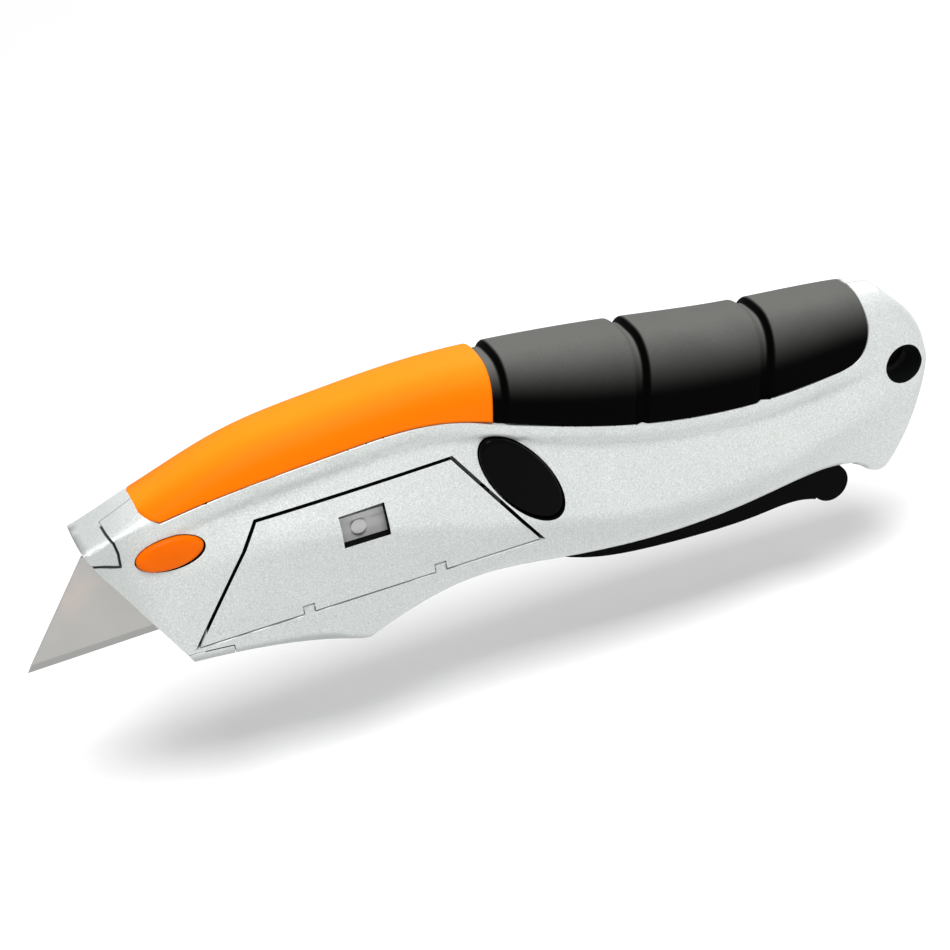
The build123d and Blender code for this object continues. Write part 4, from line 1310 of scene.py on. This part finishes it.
# ------------------------------------------------------------------ buttons
@dataclass
class OvalButton:
    """An oval button with a crowned face and a round edge, turned about its own middle."""

    name: str
    node: str
    slot: str
    body: Body
    material: bpy.types.Material
    centre: tuple[float, float]
    length: float
    width: float
    tilt: float
    face: float
    back: float
    edge: float = 0.9
    crown: float = 0.35

    def build(self) -> bpy.types.Object:
        """Rings of an ellipse, from the middle of the face over its edge to the back.

        A ring's size share is s; its depth below the face is crown s^2 on the face and a quarter
        circle of the edge radius at the rim.

        Returns:
            The new object.
        """
        half = self.width / 2.0
        inner = np.linspace(0.02, 1.0 - self.edge / half, 16)
        quarter = np.linspace(0.0, math.pi / 2.0, 10)[1:]
        rim = 1.0 - self.edge / half * (1.0 - np.sin(quarter))
        drop = self.edge * (1.0 - np.cos(quarter))
        share = np.concatenate([inner, rim, [1.0, 0.97, 0.02]])
        depth_face = self.crown * inner ** 2
        deep = abs(self.back - self.face)
        depth = np.concatenate([depth_face, depth_face[-1] + drop, [deep - 0.1, deep, deep]])
        turn = np.linspace(0.0, 2.0 * math.pi, 96, endpoint=False)
        tilt = math.radians(self.tilt)
        a = np.outer(share * self.length / 2.0, np.cos(turn))
        b = np.outer(share * half, np.sin(turn))
        x = self.centre[0] + a * math.cos(tilt) - b * math.sin(tilt)
        z = self.centre[1] + a * math.sin(tilt) + b * math.cos(tilt)
        y = self.face - math.copysign(1.0, self.face) * np.repeat(depth[:, None], len(turn), axis=1)
        rings = np.stack([x, y, z], -1)
        faces = grid_faces(len(share), len(turn), wrap=True).tolist()
        last = len(share) * len(turn)
        faces += [list(range(len(turn)))[::-1], list(range(last - len(turn), last))]
        piece = make_piece(self.name, rings.reshape(-1, 3), faces, self.material, self.body)
        tidy_normals(piece)
        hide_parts(self.node)
        log.info("%s made", self.name)
        return piece


@dataclass
class Buttons:
    """The release button in the nose and the lock that goes right through the handle.

    The release button stands proud of the side by ``release_proud``. The lock's near end is
    flush, and its far end lies ``lock_sunk`` in.
    """

    finishes: Finishes
    release_at: tuple[float, float] = (28.4, 18.4)
    release_size: tuple[float, float] = (12.2, 5.9)
    release_proud: float = 1.0
    release_back: float = -6.3
    lock_at: tuple[float, float] = (92.7, 11.4)
    lock_size: tuple[float, float] = (22.0, 9.5)
    lock_tilt: float = -58.0
    lock_sunk: float = 2.0
    lock_depths: tuple[float, float] = (4.0, 2.6)
    lock_edge: float = 0.6
    lock_crown: float = 0.5

    def build(self) -> list[bpy.types.Object]:
        """Make the three visible ends.

        Returns:
            The three new objects.
        """
        face = -(float(FORM.columns(self.release_at[0])[3]) + self.release_proud)
        release = OvalButton("release_cap", "release_button", Slot.ORANGE_PLASTIC.value,
                             Body.RELEASE, self.finishes.orange_plastic, self.release_at,
                             *self.release_size, 0.0, face, self.release_back)
        side = float(FORM.columns(self.lock_at[0])[4])
        near = self.lock_end("lock_cap", "lock_button", -side, self.lock_depths[0])
        far = self.lock_end("lock_far_cap", "lock_end", side - self.lock_sunk,
                            -self.lock_depths[1])
        return [release.build(), near.build(), far.build()]

    def lock_end(self, name: str, node: str, face: float, deep: float) -> OvalButton:
        """One end of the lock, from its face to so much deeper along Y.

        Args:
            name: Name of the object.
            node: CAD node that it replaces.
            face: Y of its face.
            deep: Y of its back less Y of its face.

        Returns:
            The button, not yet built.
        """
        return OvalButton(name, node, Slot.BLACK_GLOSS.value, Body.LOCK,
                          self.finishes.black_gloss, self.lock_at, *self.lock_size,
                          self.lock_tilt, face, face + deep, self.lock_edge, self.lock_crown)


# ------------------------------------------------------------------ carried-over pieces
@dataclass
class InnerWorks:
    """The pieces whose CAD shape is right as it is."""

    finishes: Finishes

    def build(self) -> None:
        """Dress each of them."""
        f = self.finishes
        finish = {
            "shell_screws": f.steel, "door_hinge_pin": f.steel, "blade_tray": f.pale_plastic,
            "spare_blades": f.blade, "blade": f.blade, "blade_carriage": f.zinc,
            "blade_clip": f.steel, "squeeze_lever": f.black_plastic, "lever_pivot_pin": f.steel,
            "return_spring": f.steel, "swing_arm": f.zinc, "swing_arm_pin": f.steel,
            "drive_pin": f.steel, "crank_pin": f.steel, "button_spring": f.steel,
        }
        for node, material in finish.items():
            dress(node, material)


# ------------------------------------------------------------------ studio
@dataclass(frozen=True)
class SoftBox:
    """A square lamp: its place, the length of its side in metres and its power in watts."""

    name: str
    place: tuple[float, float, float]
    size: float
    power: float


@dataclass
class Studio:
    """Pale floor, soft lamps and the camera."""

    lamps: tuple[SoftBox, ...] = (SoftBox("behind", (0.45, 0.45, 0.65), 0.5, 4.2),
                                  SoftBox("front", (-0.05, -0.42, 0.85), 0.4, 9.0))
    fill: float = 0.24
    floor_colour: tuple[float, float, float] = (0.93, 0.93, 0.93)
    floor_height: float = -0.0245
    floor_fade: tuple[float, float] = (0.25, 0.6)
    azimuth: float = -16.0
    elevation: float = 29.7
    roll: float = 10.2
    distance: float = 0.455
    target: tuple[float, float, float] = (-0.0020, 0.0, 0.0272)
    sensor: float = 36.0
    focal_share: float = 2500.0 / 950.0

    def floor(self) -> bpy.types.Object:
        """A wide disc in rings that grow outwards, low enough for the open lever.

        Far out it fades, so that the white background shows in its place.

        Returns:
            The new object.
        """
        graph = Graph("floor")
        cloud = graph.noise(0.05, 2.0)
        x, y = graph.axis("X"), graph.axis("Y")
        away = (x * x + y * y).math("SQRT").ease(*self.floor_fade)
        material = graph.finish(Base_Color=self.floor_colour, Roughness=cloud * 0.1 + 0.8,
                                Specular_IOR_Level=0.1, Alpha=1.0 - away)
        radius = np.geomspace(0.05, 3.0, 24)
        turn = np.linspace(0.0, 2.0 * math.pi, 64, endpoint=False)
        x, y = np.outer(radius, np.cos(turn)), np.outer(radius, np.sin(turn))
        points = np.stack([x, y, 0.0 * x + self.floor_height], -1).reshape(-1, 3)
        faces = grid_faces(len(radius), len(turn), wrap=True).tolist()
        faces.append(list(range(len(turn)))[::-1])
        mesh = bpy.data.meshes.new("floor")
        mesh.from_pydata(points.tolist(), [], faces)
        mesh.materials.append(material)
        piece = bpy.data.objects.new("floor", mesh)
        bpy.context.scene.collection.objects.link(piece)
        tidy_normals(piece)
        return piece

    def lamp(self, box: SoftBox) -> None:
        """Hang a soft box so that it looks at the knife.

        Args:
            box: The soft box.
        """
        data = bpy.data.lights.new(box.name, "AREA")
        data.shape = "SQUARE"
        data.size = box.size
        data.energy = box.power
        lamp = bpy.data.objects.new(box.name, data)
        bpy.context.scene.collection.objects.link(lamp)
        lamp.location = box.place
        aim = Vector(self.target) - Vector(box.place)
        lamp.rotation_mode = "QUATERNION"
        lamp.rotation_quaternion = aim.to_track_quat("-Z", "Y")

    def world(self) -> None:
        """Even pale light from all sides, and white to the camera and in reflections."""
        world = bpy.data.worlds.new("studio")
        bpy.context.scene.world = world
        world.use_nodes = True
        tree = world.node_tree
        sky = next(n for n in tree.nodes if n.type == "BACKGROUND")
        sky.inputs["Color"].default_value = (1.0, 1.0, 1.0, 1.0)
        path = tree.nodes.new("ShaderNodeLightPath")
        seen = path.outputs["Is Camera Ray"]
        for name in ("Is Glossy Ray", "Is Transmission Ray"):
            more = tree.nodes.new("ShaderNodeMath")
            more.operation = "MAXIMUM"
            tree.links.new(seen, more.inputs[0])
            tree.links.new(path.outputs[name], more.inputs[1])
            seen = more.outputs[0]
        level = tree.nodes.new("ShaderNodeMapRange")
        level.inputs["To Min"].default_value = self.fill
        tree.links.new(seen, level.inputs["Value"])
        tree.links.new(level.outputs["Result"], sky.inputs["Strength"])

    def camera(self) -> None:
        """Camera at its angle and roll, looking at the target from its distance."""
        a, e = math.radians(self.azimuth), math.radians(self.elevation)
        back = Vector((math.sin(a) * math.cos(e), -math.cos(a) * math.cos(e), math.sin(e)))
        right = Vector((math.cos(a), math.sin(a), 0.0))
        up = back.cross(right)
        r = math.radians(self.roll)
        x_axis = right * math.cos(r) - up * math.sin(r)
        y_axis = right * math.sin(r) + up * math.cos(r)
        data = bpy.data.cameras.new("camera")
        data.sensor_width = self.sensor
        data.lens = self.sensor * self.focal_share
        data.clip_start, data.clip_end = 0.01, 10.0
        camera = bpy.data.objects.new("camera", data)
        bpy.context.scene.collection.objects.link(camera)
        turn = Matrix((x_axis, y_axis, back)).transposed()
        camera.matrix_world = Matrix.Translation(Vector(self.target) + back * self.distance) \
            @ turn.to_4x4()
        bpy.context.scene.camera = camera

    def build(self) -> None:
        """Set the stage."""
        self.floor()
        for box in self.lamps:
            self.lamp(box)
        self.world()
        self.camera()
        bpy.context.scene.view_settings.view_transform = "Standard"


def main() -> None:
    """Build every sub-assembly in order."""
    logging.basicConfig(level=logging.INFO, format="%(name)s: %(message)s")
    finishes = Finishes()
    MetalCase(finishes.shell).build()
    Grips(finishes.orange_rubber, finishes.black_rubber).build()
    Buttons(finishes).build()
    InnerWorks(finishes).build()
    Studio().build()


if __name__ == "__main__":
    main()
